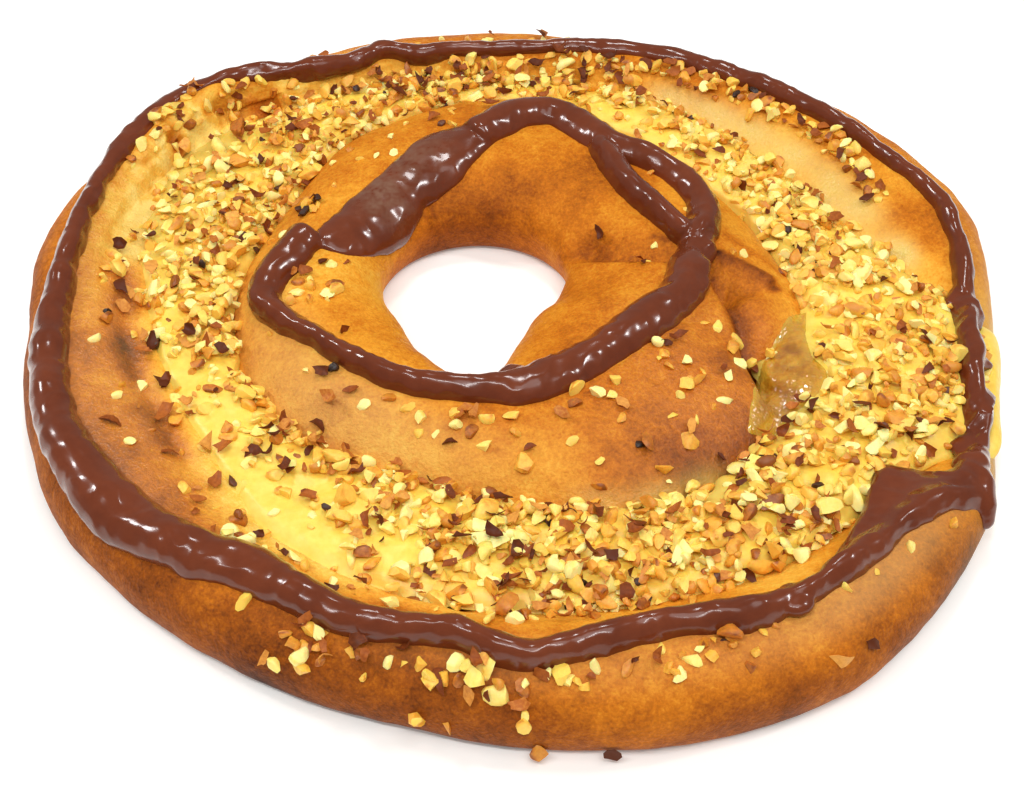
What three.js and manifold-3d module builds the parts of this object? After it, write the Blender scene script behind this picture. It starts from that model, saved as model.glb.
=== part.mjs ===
// A baked ring of yeast dough: an outer rim and a thick roll round an off-centre hole, a band of
// custard between them, chopped hazelnuts, and two piped lines of chocolate icing.
// Millimetres, +Z up, resting on z = 0. +X is the side where the ends of the strip join, +Y the back.
import * as THREE from "three";
import { mergeVertices } from "three/addons/utils/BufferGeometryUtils.js";
import Module from "manifold-3d";

const wasm = await Module();
wasm.setup();

// Driving dimensions. A list of twelve gives a size every 30 degrees, counter-clockwise from +X.
const OUTER_RADIUS = [137, 145, 140, 142, 144, 147, 139, 140, 137, 141, 148, 143];
const RIM_INSET = [13, 16, 17, 20, 18, 12, 13, 12, 15, 16, 18, 16];
const RIM_HEIGHT = [19, 22, 22, 22, 22, 24, 22, 22, 22, 23, 23, 21];
const CUSTARD_OUTER_RADIUS = [115, 109, 111, 112, 117, 118, 106, 101, 102, 107, 113, 116];
const CUSTARD_INNER_RADIUS = [81, 80, 86, 100, 96, 82, 81, 78, 71, 74, 84, 84];
const CUSTARD_DOME = [3, 2, 1.5, 1.5, 2, 1.5, 2, 2, 2, 3, 4, 4.5];
const HOLE_RADIUS = [22.5, 30.5, 34.5, 35.5, 34, 30.5, 26.5, 24, 29, 35, 23, 18.5];
const ROLL_HEIGHT = [23.5, 23.5, 24.5, 25, 25, 24.5, 24.5, 25, 25.5, 25.5, 26.5, 26.5];
const HOLE_CENTRE = new THREE.Vector2(-12, 7);
const BOX_CENTRE = new THREE.Vector2(-0.3, 0.2); // of the whole ring, put at the origin
const ROLL_CREST_SHARE = 0.47; // where the roll is highest, from the hole towards the custard
const CUSTARD_LEVEL = 14;
const TROUGH_FLOOR = 7;
const TROUGH_SLOPE = 7;
const WIDEST_SHARE = 0.4; // the walls stand out most at this share of their height
const FOOT_INSET = 4.5;
const CLEARANCE = 0.5;
const CUSTARD_LIP = 1.2;
const DOME_FULLNESS = 0.6; // below 1 the custard's dome is flat on top and steep at its edges
const CUSTARD_EDGE_FALL = 5; // the higher, the nearer to its outer edge the custard starts to drop
const ROLL_STEEPEST = 75; // slope of the roll in degrees where it meets the custard

// Places where the ring departs from its even form: angle, spread in degrees, amount.
const BACK_CORNER = { at: 140, spread: 8, out: 3.5, up: 1 };
const RIGHT_CORNER = { at: 18, spread: 7, out: 3.5 };
const RIM_GAP = { at: 348, spread: 15, top: 10, level: 9.5, radius: 132, inset: 3, sharpness: 6 };
const TUCKED_END = { at: 342, spread: 9, in: -13 };
const LEFT_FOLD = { at: 205, spread: 34, depth: 1.6, ridge: 0.64 };
const SEAM = { from: [14, 25], to: [66, 7], depth: 3.2, width: 4.5 };

// Outer icing line: angle, inner and outer radius of the band on the rim.
const OUTER_ICING = [
  [0, 121, 129], [14, 127, 134.5], [30, 123.5, 131], [45, 121, 128.5], [60, 119, 127],
  [75, 117.5, 125.5], [90, 114, 122], [104, 113, 121], [112, 119, 128], [120, 118, 126],
  [132, 131, 139], [141, 138, 146], [150, 132, 140], [165, 123, 132], [180, 122, 132],
  [195, 124, 134.5], [208, 125, 135.5], [220, 122, 134], [229, 115.5, 127], [238, 113, 122],
  [254, 116.5, 125], [264, 118, 128], [272, 122, 134], [284, 119, 129], [296, 126, 136],
  [304, 125.5, 133.5], [313, 118, 133], [323, 117, 134], [331, 127, 136], [340, 122, 131],
  [350, 120, 128.5],
];
// Inner icing line, a closed loop on the roll: x, y, width.
const INNER_ICING = [
  [0, -43, 11], [14, -37, 11.5], [28.5, -28, 10], [42, -14, 10.5], [49.5, 2, 11.5], [56, 18, 10],
  [57, 31, 8.5], [49, 43, 8.5], [38, 55, 9], [28, 68, 9], [18.5, 78, 9.5], [8.5, 81, 10],
  [-1, 76, 10], [-11, 67, 11.5], [-22, 59, 14], [-34, 50, 17], [-43, 39, 17], [-50, 27, 16],
  [-59, 19, 8], [-67, 11, 11], [-71, 0, 12], [-71, -10, 10.5], [-65, -19, 7.5], [-56, -27, 7.5],
  [-44.5, -35.5, 8], [-30, -42, 8.5], [-15, -45, 9.5],
];
// Second strand of the inner line, which leaves a small eye between the two.
const INNER_STRAND = [[19, 75, 5], [23.5, 64, 7], [28.5, 47, 7.5], [38, 34.5, 7.5], [50, 24, 6]];
const ICING_HEIGHT = 4.4;
const ICING_EDGE = 0.6;
const ICING_SUNK = 2;
const ICING_FULL_WIDTH = 12; // a wider smear than this lies lower
const ICING_LEAST_WIDTH = 8; // and so does a thinner line than this

// Chopped hazelnuts: how many are tried, and their half sizes.
const CUSTARD_NUTS = 56;
const DOUGH_NUTS = 76;
const NUT_SIZE = [2.0, 3.3];
const NUT_SINK = 0.3;
const NUT_CLEARANCE = 1.0;
const NUT_ROOM = 1.4; // space kept round a nut, in its own sizes
const NUT_SPACING = 8.6;
const NUT_STRETCH = { x: [0.8, 1.3], y: [0.7, 1.1], z: [0.55, 0.85] };
const NUT_UNEVEN = [0.85, 1.15];
const NUT_TILT = 0.9;
const NUT_ANGLE_DRIFT = 2;
const GOLDEN_SHARE = 0.618; // steps that spread places evenly across a band
// Bands that hold nuts, each as shares of the way between two of the ring's lines.
const NUT_BANDS = {
  custard: { from: "custardInner", to: "custardOuter", shares: [0.2, 0.8] },
  roll: { from: "rollCrest", to: "custardInner", shares: [0.15, 0.65] },
  rimInside: { from: "custardOuter", to: "rimCrest", shares: [0.35, 0.8] },
  rimOutside: { from: "rimCrest", to: "outer", shares: [0.2, 0.6] },
};
const SEEDS = { doughPlaces: 11, doughNuts: 23, custardPlaces: 5, custardNuts: 47, room: 1 };

// Fineness of the solids
const RING_STEPS = 84;
const OUTER_ICING_STEPS = 92;
const INNER_ICING_STEPS = 66;
const STRAND_STEPS = 10;
const ICING_ACROSS = 5;
const CUSTARD_ACROSS = 6;
// Points of an outline: degrees round the foot and the walls, shares of the way up or down a slope.
const FOOT_LEANS = [-90, -45];
const HOLE_WALL_LEANS = [0, 28, 58];
const OUTER_WALL_LEANS = [90, 58, 28, 0];
const ROLL_SLOPE_SHARES = [0, 0.35, 0.7];
const RIM_SLOPE_SHARES = [0, 0.25, 0.5, 0.75];
const ABOVE_ALL = 100;

const MATERIALS = {
  dough: { color: 0xc9812f, roughness: 0.55 },
  custard: { color: 0xf2cf3f, roughness: 0.4 },
  icing_outer: { color: 0x5f3424, roughness: 0.3 },
  icing_inner: { color: 0x643927, roughness: 0.3 },
};

const radians = THREE.MathUtils.degToRad;
const mix = THREE.MathUtils.lerp;

// Smooth periodic value at an angle, through twelve values a twelfth of a turn apart.
function around(clock, degrees) {
  const count = clock.length;
  const place = (((degrees % 360) + 360) % 360) / (360 / count);
  const first = Math.floor(place);
  const t = place - first;
  const [a, b, c, d] = [-1, 0, 1, 2].map((step) => clock[(first + step + count) % count]);
  return b + 0.5 * t * (c - a + t * (2 * a - 5 * b + 4 * c - d + t * (3 * (b - c) + d - a)));
}

// Bell-shaped weight, 1 at the given angle and near 0 two spreads away.
function near(degrees, { at, spread }) {
  const apart = ((degrees - at + 540) % 360) - 180;
  return Math.exp(-((apart / spread) ** 2));
}

// Weight that stays 1 over the place itself and falls off quickly at its ends.
function within(degrees, { at, spread, sharpness }) {
  const apart = ((degrees - at + 540) % 360) - 180;
  return 1 / (1 + (apart / spread) ** sharpness);
}

// Repeatable random numbers between 0 and 1.
function seeded(seed) {
  let state = seed;
  return () => {
    state = (Math.imul(state, 1664525) + 1013904223) >>> 0;
    return state / 2 ** 32;
  };
}

function between([low, high], random) {
  return mix(low, high, random());
}

// The ring's main lines at one angle: plan points with the heights that go with them.
function section(degrees) {
  const angle = radians(degrees);
  const outward = new THREE.Vector2(Math.cos(angle), Math.sin(angle));
  const at = (radius) => outward.clone().multiplyScalar(radius);
  const corner = near(degrees, BACK_CORNER);
  const gap = within(degrees, RIM_GAP);
  const corners = BACK_CORNER.out * corner + RIGHT_CORNER.out * near(degrees, RIGHT_CORNER);
  const outerRadius = around(OUTER_RADIUS, degrees) + corners;
  const custardOuter = mix(around(CUSTARD_OUTER_RADIUS, degrees), RIM_GAP.radius, gap);
  const rimInset = mix(around(RIM_INSET, degrees), RIM_GAP.inset, gap);
  const hole = HOLE_CENTRE.clone().add(at(around(HOLE_RADIUS, degrees)));
  const tuck = TUCKED_END.in * near(degrees, TUCKED_END);
  const custardInner = at(around(CUSTARD_INNER_RADIUS, degrees) + tuck);
  return {
    outward,
    hole,
    rollCrest: hole.clone().lerp(custardInner, ROLL_CREST_SHARE),
    custardInner,
    custardOuter: at(custardOuter),
    rimCrest: at(outerRadius - rimInset),
    outer: at(outerRadius),
    rollHeight: around(ROLL_HEIGHT, degrees),
    innerLevel: CUSTARD_LEVEL,
    outerLevel: mix(CUSTARD_LEVEL, RIM_GAP.level, gap),
    rimHeight: mix(around(RIM_HEIGHT, degrees) + BACK_CORNER.up * corner, RIM_GAP.top, gap),
    dome: around(CUSTARD_DOME, degrees),
    fold: near(degrees, LEFT_FOLD) * (1 - gap),
  };
}

// How far the seam between the two ends of the roll dips at a plan point.
function seamDip(plan) {
  const from = new THREE.Vector2(...SEAM.from);
  const along = new THREE.Vector2(...SEAM.to).sub(from);
  const share = THREE.MathUtils.clamp(plan.clone().sub(from).dot(along) / along.lengthSq(), 0, 1);
  const apart = plan.distanceTo(from.addScaledVector(along, share));
  return SEAM.depth * Math.exp(-((apart / SEAM.width) ** 2));
}

// Closed outline of the dough at one angle, from the foot of the hole's wall up and over to the
// outer foot.
function doughOutline(degrees) {
  const s = section(degrees);
  const points = [];
  const put = (plan, z) => points.push(new THREE.Vector3(plan.x, plan.y, z));
  const rollWidest = WIDEST_SHARE * s.rollHeight;
  const rimWidest = WIDEST_SHARE * s.rimHeight;
  for (const lean of FOOT_LEANS) {
    const inset = FOOT_INSET * (1 - Math.cos(radians(lean)));
    put(s.hole.clone().addScaledVector(s.outward, inset), rollWidest * (1 + Math.sin(radians(lean))));
  }
  for (const lean of HOLE_WALL_LEANS) {
    const plan = s.rollCrest.clone().lerp(s.hole, Math.cos(radians(lean)));
    put(plan, mix(rollWidest, s.rollHeight, Math.sin(radians(lean))) - seamDip(plan));
  }
  const steepest = radians(ROLL_STEEPEST);
  for (const share of ROLL_SLOPE_SHARES) {
    const fall = (1 - Math.cos(share * steepest)) / (1 - Math.cos(steepest));
    const reach = Math.sin(share * steepest) / Math.sin(steepest);
    const plan = s.rollCrest.clone().lerp(s.custardInner, reach);
    put(plan, mix(s.rollHeight, s.innerLevel, fall) - seamDip(plan) * (1 - share));
  }
  put(s.custardInner, s.innerLevel);
  put(s.custardInner.clone().addScaledVector(s.outward, TROUGH_SLOPE), TROUGH_FLOOR);
  put(s.custardOuter.clone().addScaledVector(s.outward, -TROUGH_SLOPE), TROUGH_FLOOR);
  for (const share of RIM_SLOPE_SHARES) {
    const rise = Math.sin((share * Math.PI) / 2);
    const amount = share < 0.5 ? LEFT_FOLD.depth : LEFT_FOLD.ridge;
    const fold = -s.fold * amount * Math.sin(share * 2 * Math.PI);
    put(s.custardOuter.clone().lerp(s.rimCrest, share), mix(s.outerLevel, s.rimHeight, rise) + fold);
  }
  for (const lean of OUTER_WALL_LEANS) {
    const plan = s.rimCrest.clone().lerp(s.outer, Math.cos(radians(lean)));
    put(plan, mix(rimWidest, s.rimHeight, Math.sin(radians(lean))));
  }
  for (const lean of FOOT_LEANS.toReversed()) {
    const inset = FOOT_INSET * (1 - Math.cos(radians(lean)));
    put(s.outer.clone().addScaledVector(s.outward, -inset), rimWidest * (1 + Math.sin(radians(lean))));
  }
  return points;
}

// Closed outline of the custard at one angle: the domed top, then the trough with a clearance.
// A grown outline stands out further at its top and edges.
function custardOutline(degrees, grow = 0) {
  const s = section(degrees);
  const inner = s.custardInner.clone().addScaledVector(s.outward, -grow);
  const outer = s.custardOuter.clone().addScaledVector(s.outward, grow);
  const points = [];
  const put = (plan, z) => points.push(new THREE.Vector3(plan.x, plan.y, z + CLEARANCE));
  for (let i = 0; i <= CUSTARD_ACROSS; i++) {
    const share = i / CUSTARD_ACROSS;
    const dome = s.dome * Math.sin(share * Math.PI) ** DOME_FULLNESS;
    const level = mix(s.innerLevel, s.outerLevel, share ** CUSTARD_EDGE_FALL);
    put(inner.clone().lerp(outer, share), level + CUSTARD_LIP + dome + grow);
  }
  put(outer, s.outerLevel);
  put(s.custardOuter.clone().addScaledVector(s.outward, -TROUGH_SLOPE), TROUGH_FLOOR);
  put(s.custardInner.clone().addScaledVector(s.outward, TROUGH_SLOPE), TROUGH_FLOOR);
  put(inner, s.innerLevel);
  return points;
}

// A solid from closed outlines set one after another, round a ring or between two flat ends.
function loft(outlines, closed) {
  const count = outlines[0].length;
  const positions = outlines.flat().flatMap((p) => p.toArray());
  const triangles = [];
  const last = closed ? outlines.length : outlines.length - 1;
  for (let i = 0; i < last; i++) {
    for (let j = 0; j < count; j++) {
      const [here, next] = [i * count, ((i + 1) % outlines.length) * count];
      const k = (j + 1) % count;
      triangles.push(here + j, next + j, next + k, here + j, next + k, here + k);
    }
  }
  const end = (outlines.length - 1) * count;
  for (let j = 1; !closed && j < count - 1; j++) {
    triangles.push(0, j, j + 1, end, end + j + 1, end + j);
  }
  return solid(positions, triangles);
}

// A solid from a mesh, turned to face outwards.
function solid(positions, triangles) {
  const build = (triVerts) =>
    new wasm.Manifold(
      new wasm.Mesh({
        numProp: 3,
        vertProperties: new Float32Array(positions),
        triVerts: new Uint32Array(triVerts),
      }),
    );
  const made = build(triangles);
  return made.volume() > 0 ? made : build(triangles.slice().reverse());
}

// The main body of a solid, without loose scraps.
function largest(made) {
  return made.decompose().sort((a, b) => b.volume() - a.volume())[0];
}

function toGeometry(made) {
  const mesh = made.getMesh();
  const geometry = new THREE.BufferGeometry();
  geometry.setAttribute("position", new THREE.BufferAttribute(mesh.vertProperties, 3));
  geometry.setIndex(new THREE.BufferAttribute(mesh.triVerts, 1));
  geometry.computeVertexNormals();
  return geometry;
}

function toMesh(name, made) {
  const mesh = new THREE.Mesh(toGeometry(made), new THREE.MeshStandardMaterial(MATERIALS[name]));
  mesh.name = name;
  return mesh;
}

// Height of the topmost surface under a plan point.
function heightOn(meshes) {
  const caster = new THREE.Raycaster();
  const down = new THREE.Vector3(0, 0, -1);
  return (x, y) => {
    caster.set(new THREE.Vector3(x, y, ABOVE_ALL), down);
    const [hit] = caster.intersectObjects(meshes, false);
    return hit ? hit.point.z : undefined;
  };
}

// Cross-section of an icing line between its two edges, draped on what lies below and sunk into it,
// where it is trimmed later.
function icingOutline(left, right, surface) {
  const width = left.distanceTo(right);
  const flattened = Math.min(1, Math.sqrt(ICING_FULL_WIDTH / width), width / ICING_LEAST_WIDTH);
  const height = ICING_HEIGHT * flattened;
  const outline = [];
  for (let i = 0; i < ICING_ACROSS; i++) {
    const across = -Math.cos((i / (ICING_ACROSS - 1)) * Math.PI);
    const plan = left.clone().lerp(right, (across + 1) / 2);
    const bulge = height * Math.sqrt(1 - across ** 2);
    const top = surface(plan.x, plan.y) + CLEARANCE + ICING_EDGE + bulge;
    outline.push(new THREE.Vector3(plan.x, plan.y, top));
  }
  for (const edge of [right, left]) {
    outline.push(new THREE.Vector3(edge.x, edge.y, surface(edge.x, edge.y) - ICING_SUNK));
  }
  return outline;
}

// The outer line: a closed band between two radii.
function outerIcing(surface) {
  const knots = OUTER_ICING.map(([degrees, inner, outer]) => new THREE.Vector3(degrees, inner, outer));
  const turn = new THREE.Vector3(360, 0, 0);
  const path = new THREE.CatmullRomCurve3([
    knots.at(-1).clone().sub(turn), ...knots, knots[0].clone().add(turn), knots[1].clone().add(turn),
  ]);
  const [start, span] = [1 / (knots.length + 2), knots.length / (knots.length + 2)];
  const outlines = [];
  for (let i = 0; i < OUTER_ICING_STEPS; i++) {
    const at = path.getPoint(start + (span * i) / OUTER_ICING_STEPS);
    const [x, y] = [Math.cos(radians(at.x)), Math.sin(radians(at.x))];
    const edge = (radius) => new THREE.Vector2(x, y).multiplyScalar(radius);
    outlines.push(icingOutline(edge(at.y), edge(at.z), surface));
  }
  return loft(outlines, true);
}

// A line of icing along plan points that each have a width.
function icingLine(knots, steps, closed, surface) {
  const path = new THREE.CatmullRomCurve3(knots.map((k) => new THREE.Vector3(...k)), closed);
  const outlines = [];
  for (let i = 0; i < (closed ? steps : steps + 1); i++) {
    const at = path.getPoint(i / steps);
    const heading = path.getTangent(i / steps);
    const side = new THREE.Vector2(-heading.y, heading.x).normalize();
    const middle = new THREE.Vector2(at.x, at.y);
    const edge = (sign) => middle.clone().addScaledVector(side, (sign * at.z) / 2);
    outlines.push(icingOutline(edge(1), edge(-1), surface));
  }
  return loft(outlines, closed);
}

// One chopped nut: an uneven lump with twenty faces.
function nut(random, centre, size) {
  const lump = new THREE.IcosahedronGeometry(1, 0);
  lump.deleteAttribute("normal");
  lump.deleteAttribute("uv");
  const merged = mergeVertices(lump);
  const place = merged.getAttribute("position");
  const { x, y, z } = NUT_STRETCH;
  const stretch = new THREE.Vector3(between(x, random), between(y, random), between(z, random));
  const tilt = () => (random() - 0.5) * NUT_TILT;
  const turn = new THREE.Euler(tilt(), tilt(), random() * 2 * Math.PI);
  for (let i = 0; i < place.count; i++) {
    const corner = new THREE.Vector3().fromBufferAttribute(place, i);
    corner.multiplyScalar(size * between(NUT_UNEVEN, random)).multiply(stretch);
    corner.applyEuler(turn).add(centre);
    place.setXYZ(i, corner.x, corner.y, corner.z);
  }
  return solid(Array.from(place.array), Array.from(merged.index.array));
}

// Plan points for nuts, spread evenly round the ring over one band or several in turn.
function nutPlaces(count, bands, seed) {
  const random = seeded(seed);
  const places = [];
  for (let i = 0; i < count; i++) {
    const s = section((i * 360) / count + NUT_ANGLE_DRIFT * random());
    const { from, to, shares } = bands[i % bands.length];
    places.push(s[from].clone().lerp(s[to], mix(...shares, (i * GOLDEN_SHARE) % 1)));
  }
  return places;
}

// Joins nuts to a solid, leaving out those that would touch another node or an earlier nut.
function withNuts(base, places, surface, others, seed) {
  const random = seeded(seed);
  let joined = base;
  const taken = [];
  for (const place of places) {
    const size = between(NUT_SIZE, random);
    const z = surface(place.x, place.y);
    if (z === undefined) continue;
    const centre = new THREE.Vector3(place.x, place.y, z + NUT_SINK * size);
    const lump = nut(random, centre, size);
    const room = nut(seeded(SEEDS.room), centre, size * NUT_ROOM + NUT_CLEARANCE);
    const crowded = taken.some((other) => other.distanceTo(centre) < NUT_SPACING);
    if (crowded || others.some((other) => other.intersect(room).volume() > 0)) continue;
    taken.push(centre);
    joined = joined.add(lump);
  }
  return joined;
}

const angles = Array.from({ length: RING_STEPS }, (_, i) => (i * 360) / RING_STEPS);
const bareDough = loft(angles.map(doughOutline), true);
const bareCustard = loft(angles.map((degrees) => custardOutline(degrees)), true);
const doughSurface = heightOn([toMesh("dough", bareDough)]);
const custardSurface = heightOn([toMesh("custard", bareCustard)]);
const topSurface = heightOn([toMesh("dough", bareDough), toMesh("custard", bareCustard)]);
const grownCustard = loft(angles.map((degrees) => custardOutline(degrees, CLEARANCE)), true);
const trim = bareDough.add(bareDough.translate(0, 0, CLEARANCE)).add(grownCustard);
const icingOuter = largest(outerIcing(topSurface).subtract(trim));
const innerLoop = icingLine(INNER_ICING, INNER_ICING_STEPS, true, topSurface);
const innerStrand = icingLine(INNER_STRAND, STRAND_STEPS, false, topSurface);
const icingInner = largest(innerLoop.add(innerStrand).subtract(trim));
const icing = [icingOuter, icingInner];
const doughBands = [NUT_BANDS.roll, NUT_BANDS.rimInside, NUT_BANDS.rimOutside];
const onDough = nutPlaces(DOUGH_NUTS, doughBands, SEEDS.doughPlaces);
const onCustard = nutPlaces(CUSTARD_NUTS, [NUT_BANDS.custard], SEEDS.custardPlaces);
const dough = withNuts(bareDough, onDough, doughSurface, [bareCustard, ...icing], SEEDS.doughNuts);
const custard = withNuts(bareCustard, onCustard, custardSurface, [dough, ...icing], SEEDS.custardNuts);

const kringle = new THREE.Group();
kringle.position.set(-BOX_CENTRE.x, -BOX_CENTRE.y, 0);
kringle.add(
  toMesh("dough", dough),
  toMesh("custard", custard),
  toMesh("icing_outer", icingOuter),
  toMesh("icing_inner", icingInner),
);
export default kringle;
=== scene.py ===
import itertools
import math
from types import SimpleNamespace

import bmesh
import bpy
import numpy as np
from mathutils import Matrix, Vector
from mathutils.bvhtree import BVHTree


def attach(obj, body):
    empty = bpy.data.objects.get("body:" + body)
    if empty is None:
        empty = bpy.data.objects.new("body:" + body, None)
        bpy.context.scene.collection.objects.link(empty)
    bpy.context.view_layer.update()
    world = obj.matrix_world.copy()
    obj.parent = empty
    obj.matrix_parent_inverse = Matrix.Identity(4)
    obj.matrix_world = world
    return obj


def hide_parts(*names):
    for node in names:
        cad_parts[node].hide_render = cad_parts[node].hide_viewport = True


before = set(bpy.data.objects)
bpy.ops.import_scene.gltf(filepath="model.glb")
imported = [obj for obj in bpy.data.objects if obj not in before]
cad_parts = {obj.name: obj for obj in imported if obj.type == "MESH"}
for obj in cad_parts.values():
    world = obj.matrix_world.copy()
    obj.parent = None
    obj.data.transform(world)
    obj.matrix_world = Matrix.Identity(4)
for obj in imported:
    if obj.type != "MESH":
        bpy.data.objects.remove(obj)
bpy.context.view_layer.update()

# Shapes are worked out in millimetres round the ring's own axis and put in metres round the box centre.
MM = 0.001
BOX_CENTRE = np.array([-0.3, 0.2, 0.0])

# Sizes of the ring. A list of twelve gives a value every 30 degrees, counter-clockwise from +X.
OUTER_RADIUS = [137, 145, 140, 142, 144, 147, 139, 140, 137, 141, 148, 143]
RIM_INSET = [13, 16, 17, 20, 18, 12, 13, 12, 15, 16, 18, 16]
RIM_HEIGHT = [19, 22, 22, 22, 22, 24, 22, 22, 22, 23, 23, 21]
CUSTARD_OUTER_RADIUS = [113, 103, 108, 112, 117, 117, 105, 99, 105.5, 108, 113, 116]
CUSTARD_INNER_RADIUS = [81, 80, 86, 100, 96, 82, 81, 78, 71, 74, 84, 84]
CUSTARD_DOME = [3, 2, 1.5, 1.5, 2, 1.5, 2, 2, 2, 3, 4, 4.5]
HOLE_RADIUS = [22.5, 30.5, 34.5, 35.5, 34, 30.5, 26.5, 24, 29, 35, 23, 18.5]
ROLL_HEIGHT = [23.5, 23.5, 24.5, 25, 25, 24.5, 24.5, 25, 25.5, 25.5, 26.5, 26.5]
HOLE_CENTRE = np.array([-12.0, 7.0])
ROLL_CREST_SHARE = 0.47
ROLL_STEEPEST = math.radians(75)
CUSTARD_LEVEL = 14
CUSTARD_LIP = 1.5
CUSTARD_EDGE_FALL = 5
DOME_FULLNESS = 0.6
TROUGH_FLOOR = 7
TROUGH_SLOPE = 7
WIDEST_SHARE = 0.4
FOOT_INSET = 4.5

# Places where the ring departs from its even form: angle and spread in degrees, and amounts.
BACK_CORNER = dict(at=140, spread=8)
BACK_CORNER_OUT = 3.5
BACK_CORNER_UP = 1
RIGHT_CORNER = dict(at=18, spread=7)
RIGHT_CORNER_OUT = 3.5
RIM_GAP = dict(at=348, spread=15)
GAP_SHARPNESS = 4
GAP_TOP = 10
GAP_LEVEL = 9.5
GAP_RADIUS = 132
GAP_INSET = 3
# Small bulges and flats of the outline: angle, spread, amount.
OUTLINE_TRIMS = [(172, 9, 3.0), (5, 9, 2.5), (260, 8, -2.0), (344, 9, -2.4), (150, 8, -2.5), (80, 7, -2.0)]
# Custard that runs over the side at the gap: how proud of the dough, and how far down.
SPILL_PROUD = 0.5
SPILL_CLEAR = 0.8
SPILL_TOP = 13
SPILL_FOOT = 3.4
SPILL_BEND = 0.6
SPILL_TAPER = (0.3, 1.0)
SPILL_DROP = dict(at=349, spread=11)
# The tucked end of the roll, and the torn wall at the back left
TUCKED_END = dict(at=342, spread=9)
TUCKED_END_IN = -13
TORN_WALL = dict(at=143, spread=23)
TORN_FLOOR = 0.54
TORN_LEDGE = 0.66
TORN_LEDGE_RISE = 0.62

# Creases and ridges in the crust: points, height above the skin, spread to the left and to the right.
CRUST_LINES = [
    ([(13, 27), (28, 18), (44, 15), (57, 8), (63, -4)], -4.6, 7.0, 2.4),
    ([(56, 9), (62, -8), (66, -25), (70, -42)], -4.4, 3.6, 2.4),
    ([(56, 18), (65, 12), (74, 6)], 2.4, 3.0, 3.6),
    ([(-112, 16), (-110, -8), (-104, -26), (-94, -46), (-82, -66)], -1.1, 2.2, 3.0),
    ([(-104, 12), (-102.5, -12), (-97.5, -28), (-89, -46), (-78, -64), (-62, -82)], 1.7, 2.6, 2.6),
    ([(-97, 88), (-90, 91), (-83, 94.5), (-75, 97.5)], -4.0, 2.6, 2.0),
    ([(-108, 70.5), (-105.5, 76.5)], -3.0, 2.2, 2.2),
    ([(-74, -76), (-54, -93), (-34, -104), (-12, -111)], 1.3, 2.0, 2.0),
    ([(-62, -78), (-44, -93), (-28, -101), (-10, -107)], -1.3, 1.8, 1.8),
    ([(-72, 112), (-92, 100), (-106, 80), (-118, 56)], 1.8, 2.6, 3.0),
    ([(-24, 38), (-29, 52)], -0.8, 1.2, 1.2),
    ([(-36, 26), (-50, 33)], -0.6, 1.2, 1.2),
    ([(2, 37), (6, 52)], -0.5, 1.6, 1.6),
]

# How browned the crust is, 0 pale to 1 dark, at lines across the dough from the hole to the outer foot.
BROWNING = [
    [0.62] * 12,
    [0.46, 0.46, 0.54, 0.64, 0.56, 0.42, 0.32, 0.36, 0.44, 0.44, 0.46, 0.46],
    [0.50, 0.44, 0.46, 0.48, 0.48, 0.38, 0.30, 0.36, 0.42, 0.46, 0.50, 0.50],
    [0.40, 0.38, 0.38, 0.42, 0.46, 0.38, 0.36, 0.40, 0.30, 0.32, 0.52, 0.56],
    [0.20, 0.20, 0.20, 0.24, 0.18, 0.08, 0.14, 0.12, 0.12, 0.24, 0.30, 0.30],
    [0.40, 0.39, 0.46, 0.50, 0.42, 0.44, 0.54, 0.62, 0.62, 0.52, 0.47, 0.50],
    [0.38, 0.50, 0.48, 0.46, 0.46, 0.52, 0.64, 0.68, 0.70, 0.66, 0.68, 0.72],
    [0.60, 0.64, 0.62, 0.60, 0.60, 0.64, 0.72, 0.76, 0.76, 0.74, 0.74, 0.78],
]
# Spots that are browner or paler than their surroundings, the dark one in the pit at the back left a
# painted shade: x, y, radius, amount.
BROWN_AND_SHADE_SPOTS = [
    (63, -52, 9, 0.10), (62, -64, 7, 0.08), (24, 60, 14, 0.12), (-8, 50, 14, 0.04), (60, -30, 8, 0.10),
    (-108, -14, 6, 0.28), (-107, -25, 7, 0.16), (-95, -58, 9, 0.10), (-99, -44, 8, 0.20),
    (-93, -52, 8, 0.12), (-111, 4, 6, 0.16), (-84, -70, 10, 0.12), (-30, -112, 8, 0.20),
    (118, 38, 11, 0.22), (98, 62, 10, 0.10), (24, 46, 9, 0.12), (60, 96, 12, 0.10), (-70, 70, 12, 0.08),
    (118, -92, 12, 0.12), (-106.5, 73.6, 3.6, 0.55), (44, -66, 12, 0.12), (30, -60, 10, 0.08),
    (62, -98, 14, -0.10), (-60, -118, 10, 0.10), (-36, -126, 6, 0.08), (-20, -131, 8, 0.07),
    (-4, -134, 7, 0.08), (42, -131, 12, -0.10), (70, -122, 10, -0.08),
]
# Dark lines in the crust: some are browning, and some are painted shade along the grooves and the cavity
# that they follow. Points, spread, amount.
BROWN_AND_SHADE_LINES = [
    ([(54, 18.5), (66, 11.5), (76, 4)], 2.6, 0.34), ([(13, 27), (28, 18), (44, 15), (57, 8)], 1.6, 0.06),
    ([(56, 9), (62, -8), (66, -25), (70, -42)], 2.2, 0.24), ([(40, 24), (52, 21), (60, 16)], 1.2, 0.16),
    ([(-113, 16), (-111, -8), (-105, -27), (-97, -43), (-86, -64)], 5.0, 0.26),
    ([(62, 26), (70, 20), (78, 12)], 1.5, 0.12),
    ([(-98, 87), (-90, 91), (-83, 94.5), (-74, 98)], 2.4, 0.34),
]
# Wet strips beside the custard: x, y, radius.
WET_SPOTS = [
    (76, 32, 6), (82, 22, 6), (104, 44, 8), (98, 58, 8), (88, 70, 8), (76, 82, 9), (63, 92, 9),
    (49, 99, 8), (108, 26, 7), (-108, 40, 9), (-104, 58, 9), (-94, 74, 9), (-109, 24, 5), (91, 48, 6),
    (115, 24, 5), (20, -72, 8), (36, -72, 7), (50, -70, 7),
]

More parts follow.
